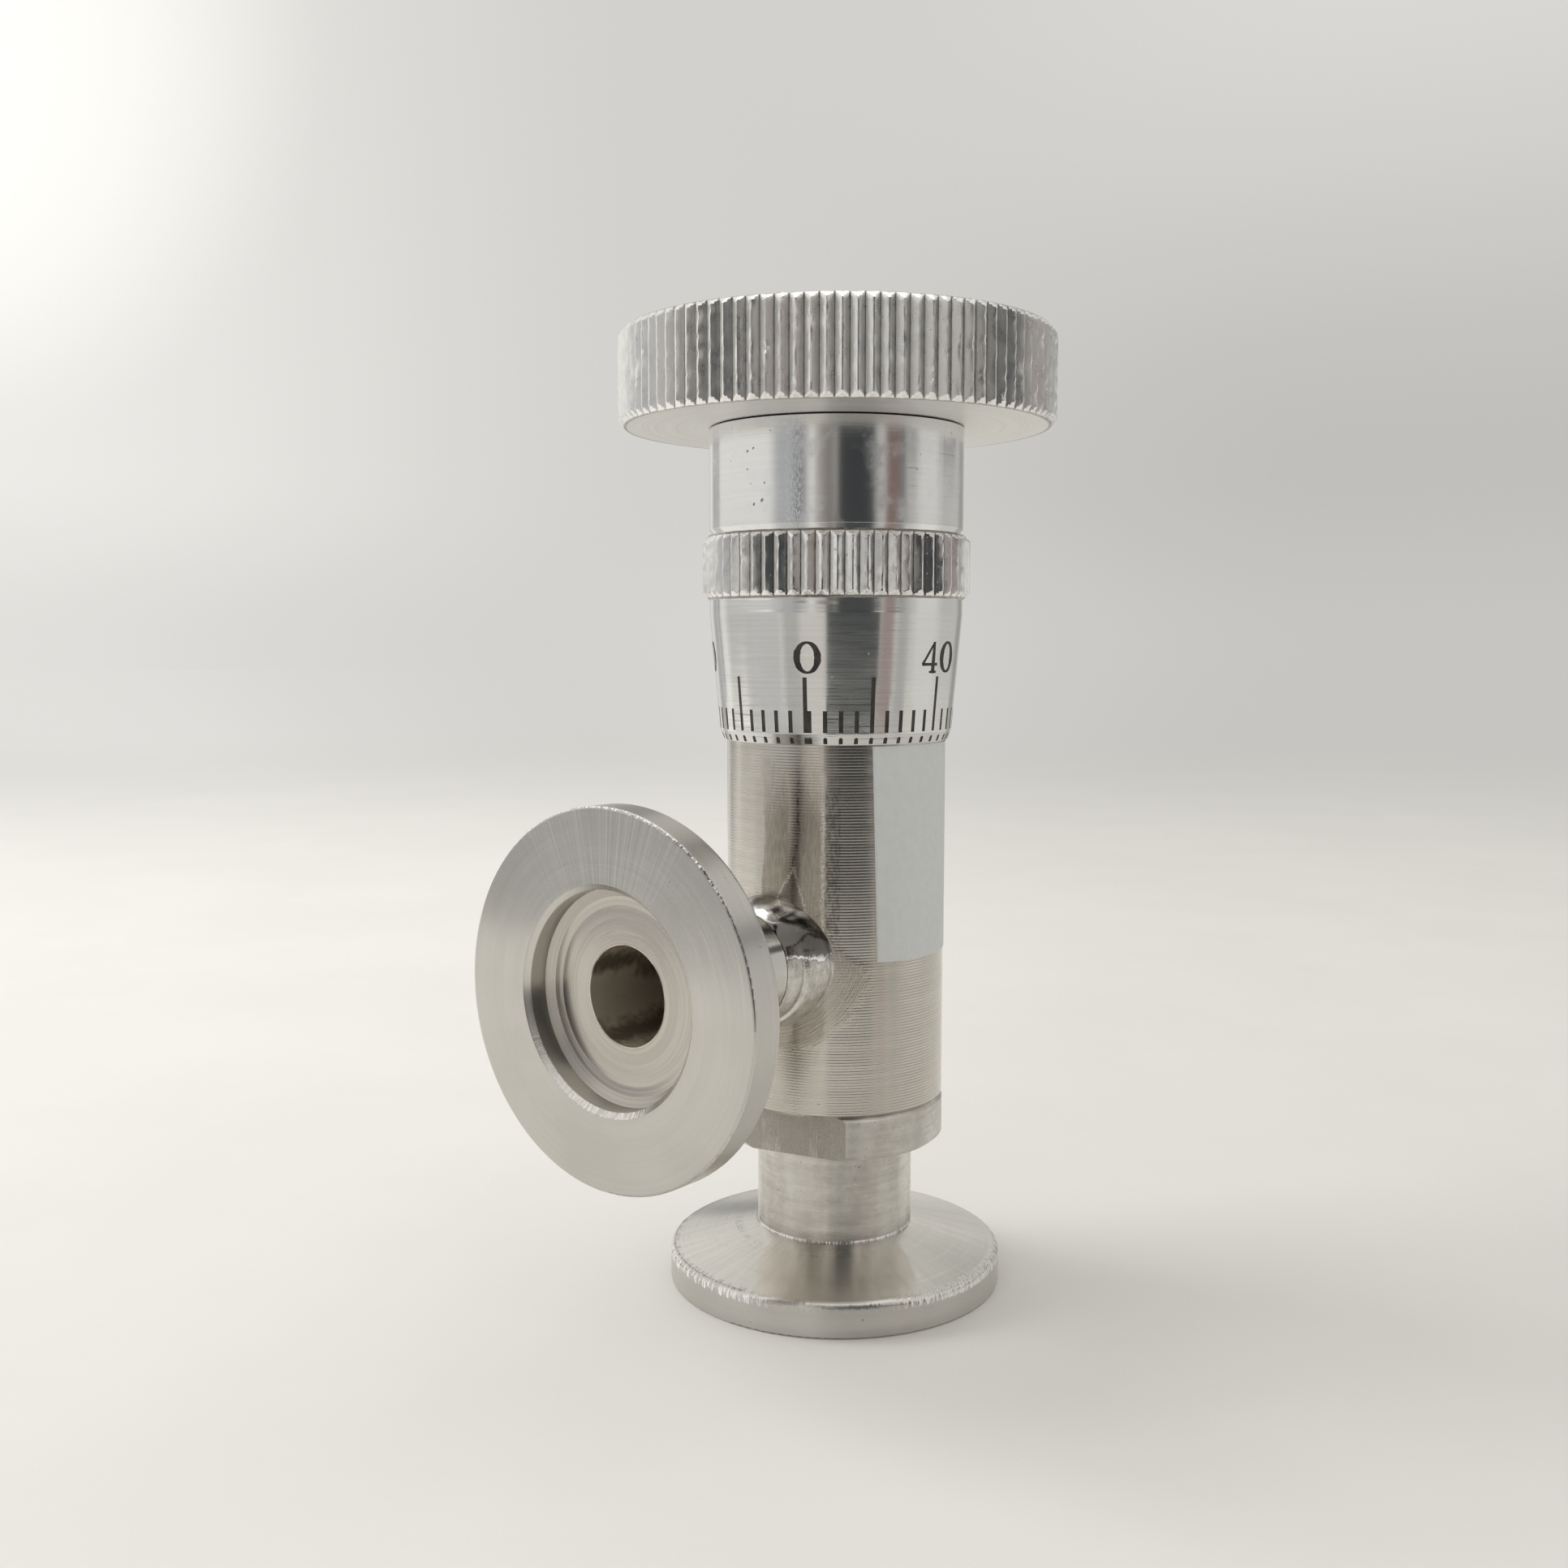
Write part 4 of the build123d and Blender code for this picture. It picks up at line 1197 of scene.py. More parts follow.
@dataclass(frozen=True)
class KnurlFinish(Finish):
    """Bare knurled metal, duller in the roots of its teeth, with painted shade in the roots and on
    its underside.
    """

    colour: Colour
    # Painted shade in the roots and on the underside, also the colour of the pits.
    root_shade_and_pit_colour: Colour
    root: float
    tip: float
    roughness: float
    grain: float
    streak: float
    pits: float

    def sockets(self, skin: Skin) -> dict[str, Level]:
        """Pits, streaks and smudges over the teeth, with painted shade in the roots and on the
        underside.

        Args:
            skin: nodes and coordinates of the surface.

        Returns:
            Level of each socket, by its name.
        """
        teeth = skin.ease(skin.radius, self.root - 0.3, self.root - 0.1)
        # Painted shade: darker towards the roots of the teeth and on faces that look down.
        rise = skin.ease(skin.radius, self.root - 0.02, self.root + 0.25 * (self.tip - self.root))
        upper = skin.ease(skin.split(skin.normal)[2], -0.99, -0.9, 0.42, 1.0)
        rise = skin.larger(rise, 1.0 - teeth) * upper
        flat = skin.ease(skin.facing, 0.97, 0.99)
        lines = skin.noise(skin.stretched(7.0, 0.5), 1.0, 3.0, 0.65)
        faint = skin.between(lines, 0.30, 0.70)
        smudge = skin.between(flat, skin.noise(skin.point, 0.8, 4.0, 0.6), faint)
        share = skin.ease(rise + smudge * 0.5, 0.25, 0.95)
        rough = skin.ease(smudge, 0.3, 0.7, self.roughness * 0.85, self.roughness * 1.2)
        rough = rough * skin.between(flat, 1.0, 1.35)
        coarse = skin.noise(skin.point, 9.0, 4.0, 0.7)
        normal = skin.bump(lines * flat, 0.0035, skin.bump(coarse, self.grain))
        pulled = skin.pulled(14.0, 14.0, 2.2)
        normal = skin.bump(skin.noise(pulled, 1.0, 3.0, 0.6), self.streak, normal)
        pits = skin.larger(
            skin.dots(skin.point, 1.6, 0.16, self.pits), skin.dots(skin.point, 4.0, 0.22, self.pits)
        )
        normal = skin.bump(1.0 - pits, 0.05, normal)
        tone = skin.mix(share, self.root_shade_and_pit_colour, self.colour)
        tone = skin.mix(pits * 0.3, tone, self.root_shade_and_pit_colour)
        return {"Base_Color": tone, "Metallic": 1.0, "Roughness": rough, "Normal": normal}


@dataclass(frozen=True)
class GroundFinish(Finish):
    """Steel without tool rings, such as a ball, a pin or wire."""

    colour: Colour
    shade: Colour
    roughness: float
    grain: float
    scale: float = 4.0

    def sockets(self, skin: Skin) -> dict[str, Level]:
        """Cloudy metal with fine grain.

        Args:
            skin: nodes and coordinates of the surface.

        Returns:
            Level of each socket, by its name.
        """
        cloud = skin.noise(skin.point, self.scale * 0.3, 4.0, 0.6)
        tone = skin.mix(skin.ease(cloud, 0.35, 0.65), self.shade, self.colour)
        rough = skin.ease(cloud, 0.3, 0.7, self.roughness * 1.3, self.roughness * 0.75)
        normal = skin.bump(skin.noise(skin.point, self.scale, 4.0, 0.6), self.grain)
        return {"Base_Color": tone, "Metallic": 1.0, "Roughness": rough, "Normal": normal}


@dataclass(frozen=True)
class WeldFinish(Finish):
    """Weld that is molten and glossy above the side tube and ground dull below it."""

    axis = Axis.SIDE_PORT
    # Dark tone of the glossy weld, partly a painted reflection of dark surroundings.
    molten: Colour
    ground: Colour
    gloss: float
    dull: float

    def sockets(self, skin: Skin) -> dict[str, Level]:
        """Mirror-like metal above, darkened by burnt tint and painted dark reflection and lit by
        painted glints; file strokes below.

        Args:
            skin: nodes and coordinates of the surface.

        Returns:
            Level of each socket, by its name.
        """
        cloud = skin.noise(skin.point, 1.1, 4.0, 0.65)
        rise = skin.z - PORT_HEIGHT
        level = rise + cloud * 2.4 + skin.x * 0.22
        upper = skin.ease(level, 3.05, 3.35)
        wide = skin.noise(skin.stretched(0.25, 1.3), 1.0, 1.0)
        # Painted glints on the crown of the bead and along the edge of the molten part.
        glint_cap = skin.ease(rise, 3.9, 4.7) * skin.ease(wide, 0.42, 0.56)
        rim = skin.inside(level, 3.3, 3.55, 0.12) * skin.ease(wide, 0.48, 0.54)
        # The burnt and molten colours are dark partly as a painted reflection of dark surroundings.
        burnt = skin.mix(skin.ease(wide, 0.38, 0.70), Tone.BURNT_AND_DARK_REFLECTION, self.molten)
        burnt = skin.mix(skin.larger(glint_cap, rim), burnt, Tone.WELD_GLINT)
        filed = skin.mix(skin.ease(cloud, 0.35, 0.7), Tone.FILED_WELD, self.ground)
        arcs = skin.noise(skin.stretched(0.6, 5.0), 1.0, 3.0, 0.7)
        upright = skin.pulled(6.0, 5.0, 0.7)
        strokes = skin.noise(upright, 1.0, 3.0, 0.7) + arcs * 0.4
        grain = (1.0 - upper) * strokes
        normal = skin.bump(grain, 0.05, skin.bump(skin.noise(skin.point, 3.0, 3.0, 0.6), 0.02))
        return {
            "Base_Color": skin.mix(upper, filed, burnt),
            "Metallic": 1.0,
            "Roughness": skin.between(upper, self.dull, self.gloss),
            "Normal": normal,
        }


@dataclass(frozen=True)
class SoftFinish(Finish):
    """Paper, rubber, plastic or paint: dull and not metallic."""

    colour: Colour
    shade: Colour
    roughness: float
    grain: float
    scale: float

    def sockets(self, skin: Skin) -> dict[str, Level]:
        """Soft cloudy tone with fine grain.

        Args:
            skin: nodes and coordinates of the surface.

        Returns:
            Level of each socket, by its name.
        """
        cloud = skin.noise(skin.point, self.scale * 0.12, 4.0, 0.6)
        fine = skin.noise(skin.point, self.scale, 3.0, 0.6)
        tone = skin.mix(skin.ease(cloud, 0.3, 0.7), self.shade, self.colour)
        rough = skin.ease(fine, 0.3, 0.7, self.roughness * 0.9, min(1.0, self.roughness * 1.15))
        return {"Base_Color": tone, "Roughness": rough, "Normal": skin.bump(fine, self.grain)}


def make_piece(
    name: str, vertices: list[Vector], faces: list[tuple[int, ...]],
    material: bpy.types.Material, body: Body, crease: float = 32.0,
) -> bpy.types.Object:
    """Turn points in millimetres into a shaded piece that rides on a body.

    Args:
        name: name of the piece.
        vertices: its points, in millimetres.
        faces: point numbers of each face.
        material: its finish.
        body: CAD body that it moves with.
        crease: angle in degrees above which an edge stays sharp.

    Returns:
        The new object.
    """
    mesh = bpy.data.meshes.new(name)
    mesh.from_pydata([vertex * MM for vertex in vertices], [], faces)
    mesh.validate()
    tidy = bmesh.new()
    tidy.from_mesh(mesh)
    bmesh.ops.recalc_face_normals(tidy, faces=tidy.faces)
    tidy.to_mesh(mesh)
    tidy.free()
    mesh.shade_smooth()
    mesh.set_sharp_from_angle(angle=math.radians(crease))
    mesh.materials.append(material)
    piece = bpy.data.objects.new(name, mesh)
    bpy.context.scene.collection.objects.link(piece)
    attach(piece, body.value)
    LOG.info("built %s with %d faces", name, len(mesh.polygons))
    return piece


def ring_point(angle: float, radius: float, height: float) -> Vector:
    """Point about the upright axis, from an angle in degrees."""
    turn = math.radians(angle)
    return Vector((radius * math.cos(turn), radius * math.sin(turn), height))


def lofted(rows: list[list[Vector]]) -> Shape:
    """Quads between closed rings of points, the last of which is joined to the first.

    Args:
        rows: rings, each with the same number of points.

    Returns:
        The points and the faces.
    """
    around = len(rows[0])
    vertices = [point for row in rows for point in row]
    faces = []
    for row in range(len(rows)):
        upper = (row + 1) % len(rows)
        for step in range(around):
            after = (step + 1) % around
            corners = ((row, step), (row, after), (upper, after), (upper, step))
            faces.append(tuple(ring * around + place for ring, place in corners))
    return vertices, faces


@dataclass
class KnurledRim:
    """Ring or wheel with straight V teeth, nicked tips and a bevel at both ends."""

    name: str
    node: str
    teeth: int
    tip_radius: float
    depth: float
    phase: float
    chamfer: float
    bore: Outline
    nick: float
    chatter: float
    land: float
    seed: float

    def __post_init__(self) -> None:
        """Take the height from the CAD node."""
        self.bottom, self.top = (corner.z for corner in span(self.node))

    def levels(self) -> list[float]:
        """Heights of the rings, closer together at the bevels.

        Returns:
            Heights in millimetres, from the bottom up.
        """
        ends = [self.chamfer * share for share in (0, 0.15, 0.32, 0.5, 0.68, 0.85, 1.0, 1.3)]
        plain = 0.3
        count = round((self.top - self.bottom - 2 * ends[-1]) / plain)
        middle = [
            ends[-1] + (self.top - self.bottom - 2 * ends[-1]) * step / count
            for step in range(1, count)
        ]
        upper = [self.top - self.bottom - end for end in reversed(ends)]
        return [self.bottom + rise for rise in ends + middle + upper]

    def tooth_radius(self, tooth: int, share: float, height: float) -> float:
        """Radius of the worn tooth form.

        Args:
            tooth: number of the tooth.
            share: place across the tooth, 0 and 1 in its roots and 0.5 on its tip.
            height: height of the point.

        Returns:
            Radius before the bevels are cut.
        """
        side = 1.0 - abs(2.0 * share - 1.0)
        rise = min(side / (1.0 - self.land), 1.0)
        radius = self.tip_radius - self.depth * (1.0 - rise)
        wave = noise.noise(Vector((tooth * 5.1 + share * 2.0, self.seed, height * 2.6)))
        fine = noise.noise(Vector((tooth * 3.7 + share * 9.0, self.seed + 7.0, height * 7.0)))
        radius += self.chatter * (0.6 * wave + 0.4 * fine) * (0.35 + 0.65 * rise)
        if rise > 0.8:
            bite = noise.noise(Vector((tooth * 9.3, self.seed + 3.0, height * 1.5)))
            radius -= self.nick * max(0.0, bite - 0.18)
        return radius

    def bevel_radius(self, height: float) -> float:
        """Largest radius that the end bevels leave at one height."""
        end = min(height - self.bottom, self.top - height)
        return self.tip_radius - max(0.0, self.chamfer - end)

    def build(self, material: bpy.types.Material) -> bpy.types.Object:
        """Make the mesh in place of its CAD node.

        Args:
            material: finish of the piece.

        Returns:
            The rim, with its CAD node hidden.
        """
        shares = [0.0, 0.1, 0.26, 0.42, 0.5 - self.land / 2, 0.5 + self.land / 2, 0.58, 0.74, 0.9]
        rows = []
        for height in self.levels():
            row = []
            for tooth in range(self.teeth):
                for share in shares:
                    radius = self.tooth_radius(tooth, share, height)
                    spot = Vector((tooth * 4.0 + share * 3.0, height * 3.0, self.seed))
                    edge = self.bevel_radius(height) + 0.25 * self.nick * noise.noise(spot)
                    turn = self.phase + 360 / self.teeth * (tooth + share)
                    row.append(ring_point(turn, min(radius, edge), height))
            rows.append(row)
        steps = len(rows[0])
        turns = [self.phase + 360 * step / steps for step in range(steps)]
        for radius, height in self.bore:
            rows.append([ring_point(turn, radius, height) for turn in turns])
        vertices, faces = lofted(rows)
        piece = make_piece(self.name, vertices, faces, material, Body.HEAD, crease=24.0)
        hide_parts(self.node)
        return piece


@dataclass
class Dial:
    """Black fill of the engraved marks and numerals of the thimble.

    Each fill is how far its face stands above the thimble, and its thickness.
    """

    bevel_z: float
    cone_top_z: float
    base_radius: float
    edge_radius: float
    hub_radius: float
    foot: float = 0.12
    short: float = 1.85
    long: float = 4.65
    width: float = 0.36
    pitch: float = 7.31
    count: int = 50
    zero: float = -67.3
    fill: tuple[float, float] = (-0.025, 0.09)
    arch_drop: float = 0.82
    arch_fill: tuple[float, float] = (0.006, 0.03)
    numeral_z: float = 55.2
    numeral_height: float = 2.6
    numeral_fill: tuple[float, float] = (0.012, 0.05)
    bevel_height: float = 0.9

    def surface(self, height: float) -> float:
        """Radius of the thimble at one height.

        Args:
            height: height in millimetres.

        Returns:
            Radius in millimetres.
        """
        if height < self.bevel_z:
            share = (self.bevel_z - height) / self.bevel_height
            return self.base_radius + share * (self.edge_radius - self.base_radius)
        share = (height - self.bevel_z) / (self.cone_top_z - self.bevel_z)
        return self.base_radius + share * (self.hub_radius - self.base_radius)

    def plate(
        self, outline: Outline, angle: float, base: float, raise_by: float, depth: float
    ) -> Shape:
        """Thin closed plate that follows the thimble.

        Args:
            outline: its corners across and up, in millimetres.
            angle: bearing of its middle in degrees.
            base: height of its origin.
            raise_by: distance of its face above the thimble.
            depth: its thickness.

        Returns:
            The points and the faces.
        """
        vertices = []
        for lift in (raise_by, raise_by - depth):
            for across, up in outline:
                radius = self.surface(base + up)
                bearing = angle + math.degrees(across / radius)
                vertices.append(ring_point(bearing, radius + lift, base + up))
        count = len(outline)
        faces = [tuple(range(count)), tuple(range(2 * count - 1, count - 1, -1))]
        for step in range(count):
            after = (step + 1) % count
            faces.append((step, after, count + after, count + step))
        return vertices, faces

    def bar(self, length: float, seed: float) -> Outline:
        """Outline of one round-ended mark with slightly ragged sides.

        Args:
            length: length of the mark.
            seed: number that makes its raggedness its own.

        Returns:
            Points across and up, in millimetres.
        """
        half = self.width / 2 - 0.015
        points = []
        for side, middle, start, row in ((1, half, 180, 1.0), (-1, length - half, 0, 4.0)):
            for step in range(7):
                turn = math.radians(start + 30 * step)
                points.append((half * math.cos(turn), middle + half * math.sin(turn)))
            for share in (0.3, 0.5, 0.7)[::side]:
                up = length * share
                wear = 0.02 * abs(noise.noise(Vector((seed, up, row))))
                points.append((side * (half - wear), up))
        return points

    def arch(self) -> Outline:
        """Outline of the small run-out mark on the bevel.

        Returns:
            Points across and up, in millimetres.
        """
        half = self.width / 2 - 0.01
        points = [(-half, 0.0), (half, 0.0)]
        for step in range(7):
            turn = math.radians(30 * step)
            points.append((half * math.cos(turn), 0.38 + half * math.sin(turn)))
        return points

    def gather(self, plates: list[Shape]) -> Shape:
        """Join several plates into one list of points and faces.

        Args:
            plates: points and faces of each plate.

        Returns:
            The points and the faces.
        """
        vertices, faces = [], []
        for points, sides in plates:
            start = len(vertices)
            vertices += points
            faces += [tuple(start + corner for corner in side) for side in sides]
        return vertices, faces

    def marks(self, material: bpy.types.Material) -> bpy.types.Object:
        """Fill of all fifty marks and of their ends on the bevel.

        Args:
            material: finish of the piece.

        Returns:
            The new piece.
        """
        plates = []
        for tick in range(self.count):
            angle = self.zero - tick * self.pitch
            length = self.short if tick % 5 else self.long
            bar = self.bar(length, tick)
            plates.append(self.plate(bar, angle, self.bevel_z + self.foot, *self.fill))
            arch = self.arch()
            plates.append(self.plate(arch, angle, self.bevel_z - self.arch_drop, *self.arch_fill))
        vertices, faces = self.gather(plates)
        return make_piece("dial_marks", vertices, faces, material, Body.HEAD)

    def numerals(self, material: bpy.types.Material) -> None:
        """Engraved numbers at every tenth mark.

        Args:
            material: finish of the piece.
        """
        glyphs = Numerals(self.numeral_height)
        for step, number in enumerate(("0", "10", "20", "30", "40")):
            nudge = 1.3 if step == 0 else 0.8
            angle = self.zero - step * 10 * self.pitch + nudge
            widths = [glyphs.width(digit) for digit in number]
            total = sum(widths) + glyphs.gap * (len(number) - 1)
            left = -total / 2
            plates = []
            for digit, width in zip(number, widths):
                for outline in glyphs.strokes(digit):
                    moved = [(left + across, up) for across, up in outline]
                    plates.append(self.plate(moved, angle, self.numeral_z, *self.numeral_fill))
                left += width + glyphs.gap
            vertices, faces = self.gather(plates)
            make_piece(f"dial_numeral_{number}", vertices, faces, material, Body.HEAD)


@dataclass(frozen=True)
class Glyph:
    """Width and strokes of a digit, as points across and up with half widths, in heights."""

    width: float
    curved: list[Stroke]
    straight: list[Stroke]


GLYPHS = {
    "0": Glyph(0.87, [], []),
    "1": Glyph(0.52, [], [
        [(0.27, 0.02, 0.06), (0.27, 0.5, 0.06), (0.27, 1.0, 0.05)],
        [(0.06, 0.83, 0.02), (0.16, 0.88, 0.03), (0.26, 0.98, 0.03)],
        [(0.05, 0.02, 0.02), (0.27, 0.03, 0.03), (0.48, 0.02, 0.02)],
    ]),
    "2": Glyph(0.74, [[
        (0.10, 0.76, 0.06), (0.12, 0.88, 0.04), (0.32, 0.98, 0.03), (0.56, 0.88, 0.06),
        (0.58, 0.66, 0.07), (0.40, 0.40, 0.05), (0.16, 0.16, 0.03), (0.05, 0.03, 0.025),
    ]], [
        [(0.05, 0.05, 0.05), (0.35, 0.05, 0.05), (0.58, 0.04, 0.04), (0.66, 0.18, 0.02)],
    ]),
    "3": Glyph(0.72, [[
        (0.10, 0.80, 0.05), (0.14, 0.93, 0.035), (0.33, 0.98, 0.03), (0.54, 0.87, 0.06),
        (0.52, 0.66, 0.06), (0.36, 0.56, 0.03), (0.26, 0.55, 0.02),
    ], [
        (0.26, 0.55, 0.02), (0.44, 0.54, 0.03), (0.62, 0.38, 0.07), (0.58, 0.14, 0.06),
        (0.34, 0.02, 0.03), (0.12, 0.07, 0.04), (0.07, 0.20, 0.06),
    ]], []),
    "4": Glyph(0.84, [], [
        [(0.56, 0.02, 0.055), (0.56, 0.5, 0.055), (0.56, 1.0, 0.03)],
        [(0.56, 0.98, 0.025), (0.30, 0.62, 0.025), (0.04, 0.27, 0.025)],
        [(0.03, 0.27, 0.03), (0.40, 0.27, 0.03), (0.78, 0.27, 0.03)],
        [(0.38, 0.02, 0.02), (0.56, 0.03, 0.03), (0.74, 0.02, 0.02)],
    ]),
}


@dataclass
class Numerals:
    """Roman numerals drawn as short strokes of changing width."""

    height: float
    gap: float = 0.28

    def width(self, digit: str) -> float:
        """Width of one digit in millimetres."""
        return GLYPHS[digit].width * self.height

    def ribbon(self, path: Stroke) -> list[Outline]:
        """Quads along a path of (across, up, half width) points in shares of the height.

        Args:
            path: middle line of the stroke.

        Returns:
            Corners of each quad, in millimetres.
        """
        quads = []
        sides = []
        for step, (across, up, half) in enumerate(path):
            before = path[max(step - 1, 0)]
            after = path[min(step + 1, len(path) - 1)]
            run = Vector((after[0] - before[0], after[1] - before[1]))
            run.normalize()
            wear = 0.02 * noise.noise(Vector((across * 37.0, up * 37.0, 2.0)))
            side = Vector((-run.y, run.x)) * (half + wear)
            sides.append(((across + side.x, up + side.y), (across - side.x, up - side.y)))
        for (left, right), (next_left, next_right) in zip(sides, sides[1:]):
            quads.append([left, next_left, next_right, right])
        return [[(x * self.height, y * self.height) for x, y in quad] for quad in quads]

    def bolder(self, path: Stroke) -> Stroke:
        """Same path with its strokes made heavier."""
        return [(across, up, half * 1.3 + 0.01) for across, up, half in path]

    def curve(self, points: Stroke, steps: int = 6) -> Stroke:
        """Smooth path through points, by Catmull-Rom.

        Args:
            points: points that the path goes through.
            steps: number of steps between two of them.

        Returns:
            The path.
        """
        path = []
        ends = [points[0], *points, points[-1]]
        for index in range(1, len(ends) - 2):
            before, start, end, after = (Vector(point) for point in ends[index - 1:index + 3])
            for step in range(steps):
                share = step / steps
                path.append(tuple(0.5 * (
                    2 * start + (end - before) * share
                    + (2 * before - 5 * start + 4 * end - after) * share ** 2
                    + (3 * start - before - 3 * end + after) * share ** 3
                )))
        path.append(points[-1])
        return path

    def oval(self) -> Stroke:
        """Closed path of the zero, heavy at its sides.

        Returns:
            The path.
        """
        path = []
        for step in range(33):
            turn = 2 * math.pi * step / 32
            half = 0.038 + 0.074 * abs(math.sin(turn)) ** 1.5
            path.append((0.435 + 0.345 * math.sin(turn), 0.5 + 0.478 * math.cos(turn), half))
        return path

    def strokes(self, digit: str) -> list[Outline]:
        """All quads of one digit.

        Args:
            digit: the digit.

        Returns:
            Corners of each quad, in millimetres.
        """
        if digit == "0":
            return self.ribbon(self.oval())
        glyph = GLYPHS[digit]
        paths = [self.curve(points) for points in glyph.curved] + glyph.straight
        return [quad for path in paths for quad in self.ribbon(self.bolder(path))]


@dataclass
class WeldBead:
    """Lumpy weld round the side tube, in place of its plain CAD ring."""

    tube_radius: float = 4.78
    barrel_radius: float = 9.73
    root_radius: float = 5.75
    toe_reach: float = 12.9
    crown: float = 0.30
    inner_y: float = -9.0
    around: int = 240
    across: int = 30

    def point(self, turn: float, share: float) -> Vector:
        """Point of the bead.

        Args:
            turn: angle round the side port in radians, from the right.
            share: 0 at the toe on the tube and 1 at the root on the barrel.

        Returns:
            The point in millimetres.
        """
        radius = self.tube_radius + (self.root_radius - self.tube_radius) * share
        x = radius * math.cos(turn)
        rise = radius * math.sin(turn)
        root = math.sqrt(self.barrel_radius ** 2 - x ** 2)
        reach = self.toe_reach + (root - self.toe_reach) * share
        swell = math.sin(math.pi * share) ** 0.8
        lump = noise.noise(Vector((math.cos(turn) * 3.1, math.sin(turn) * 3.1, share * 1.6)))
        knob = noise.noise(Vector((math.cos(turn) * 6.3, math.sin(turn) * 6.3, 4.0 + share * 3.0)))
        edge = math.sin(turn) + 0.08 * math.cos(turn) - 0.28 - 0.12 * share + 0.10 * knob
        molten = 0.5 + 0.5 * math.tanh(16.0 * edge)
        seam = 0.26 * (1.0 - molten) * math.exp(-((share - 0.40) / 0.055) ** 2)
        foot = 0.10 * (1.0 - molten) * math.exp(-((share - 0.97) / 0.03) ** 2)
        dressed = 0.13 + 0.03 * lump
        cast = self.crown + 0.32 * lump + 0.10 * knob
        height = swell * (dressed + (cast - dressed) * molten) - seam - foot
        outward = Vector((x, 0.0, rise)).normalized() * 0.75 + Vector((0.0, -0.66, 0.0))
        return Vector((x, -reach, PORT_HEIGHT + rise)) + outward * height

    def build(self, material: bpy.types.Material) -> bpy.types.Object:
        """Make the mesh in place of its CAD node.

        Args:
            material: finish of the piece.

        Returns:
            The bead, in its CAD node's slot.
        """
        turns = [2 * math.pi * step / self.around for step in range(self.around)]
        shares = [step / self.across for step in range(self.across + 1)]
        rows = [[self.point(turn, share) for turn in turns] for share in shares]
        rows.append([Vector((point.x, self.inner_y, point.z)) for point in rows[0]])
        vertices, faces = lofted(rows)
        piece = make_piece("side_weld", vertices, faces, material, Body.VALVE, crease=60.0)
        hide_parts("weld_bead")
        return piece


@dataclass(frozen=True)
class Panel:
    """Flat panel of one tone that only shows in reflections."""

    name: str
    tone: Colour

    def corners(self) -> list[tuple[float, float, float]]:
        """Its four corners in metres."""
        raise NotImplementedError

    def mask(self, sheet: Sheet, x: Value, y: Value, z: Value) -> Value:
        """Cover at a place that runs from 0 to 1 along each side."""
        raise NotImplementedError

    def hang(self, location: tuple[float, float, float], turn: float) -> None:
        """Make the panel and put it in the studio.

        Args:
            location: where its origin goes, in metres.
            turn: angle about the upright axis in radians.
        """
        mesh = bpy.data.meshes.new(self.name)
        mesh.from_pydata(self.corners(), [], [(0, 1, 2, 3)])
        material = empty_material(self.name)
        sheet = Sheet(material.node_tree)
        mask = self.mask(sheet, *sheet.split(sheet.place("Generated")))
        clear = sheet.result("ShaderNodeBsdfTransparent")
        sheet.cover(sheet.blend(mask, clear, sheet.glow(self.tone)))
        mesh.materials.append(material)
        panel = bpy.data.objects.new(self.name, mesh)
        panel.location = location
        panel.rotation_euler = (0, 0, turn)
        for rays in ("camera", "diffuse", "shadow"):
            setattr(panel, f"visible_{rays}", False)
        bpy.context.scene.collection.objects.link(panel)


@dataclass(frozen=True)
class Card(Panel):
    """Upright card with soft edges, standing round the object."""

    bearing: float
    half_width: float
    distance: float = 0.165
    bottom: float = 0.004
    top: float = 0.42
    soft: float = 0.12
    foot: float = 1.0
    twist: float = 0.0

    def corners(self) -> list[tuple[float, float, float]]:
        """Its corners, from its half width in degrees.

        Returns:
            Corners in metres, from the lower left round.
        """
        half = self.distance * math.tan(math.radians(self.half_width))
        ends = ((-half, self.bottom), (half, self.bottom), (half, self.top), (-half, self.top))
        return [(across, 0, up) for across, up in ends]

    def mask(self, sheet: Sheet, x: Value, y: Value, z: Value) -> Value:
        """Soft sides and top, and a foot that may be thinner."""
        sides = sheet.inside(x, self.soft, 1.0 - self.soft, self.soft)
        return sides * sheet.ease(z, 1.0, 0.86) * sheet.ease(z, 0.08, 0.46, self.foot, 1.0)

    def build(self, facing: float) -> None:
        """Stand the card at its bearing from the camera's own.

        Args:
            facing: bearing of the camera in degrees.
        """
        turn = math.radians(facing + self.bearing)
        place = (self.distance * math.cos(turn), self.distance * math.sin(turn), 0)
        self.hang(place, turn + math.pi / 2 + math.radians(self.twist))


@dataclass(frozen=True)
class Ceiling(Panel):
    """Bright panel overhead."""

    name: str = "ceiling_panel"
    tone: Colour = (1.6, 1.59, 1.55)
    height: float = 0.50
    half: float = 0.25

    def corners(self) -> list[tuple[float, float, float]]:
        """Corners of a square."""
        signs = ((-1, -1), (1, -1), (1, 1), (-1, 1))
        return [(self.half * x, self.half * y, 0) for x, y in signs]

    def mask(self, sheet: Sheet, x: Value, y: Value, z: Value) -> Value:
        """Soft border all round."""
        return sheet.inside(x, 0.3, 0.7, 0.3) * sheet.inside(y, 0.3, 0.7, 0.3)

    def build(self) -> None:
        """Hang the panel over the object."""
        self.hang((0, 0, self.height), 0)


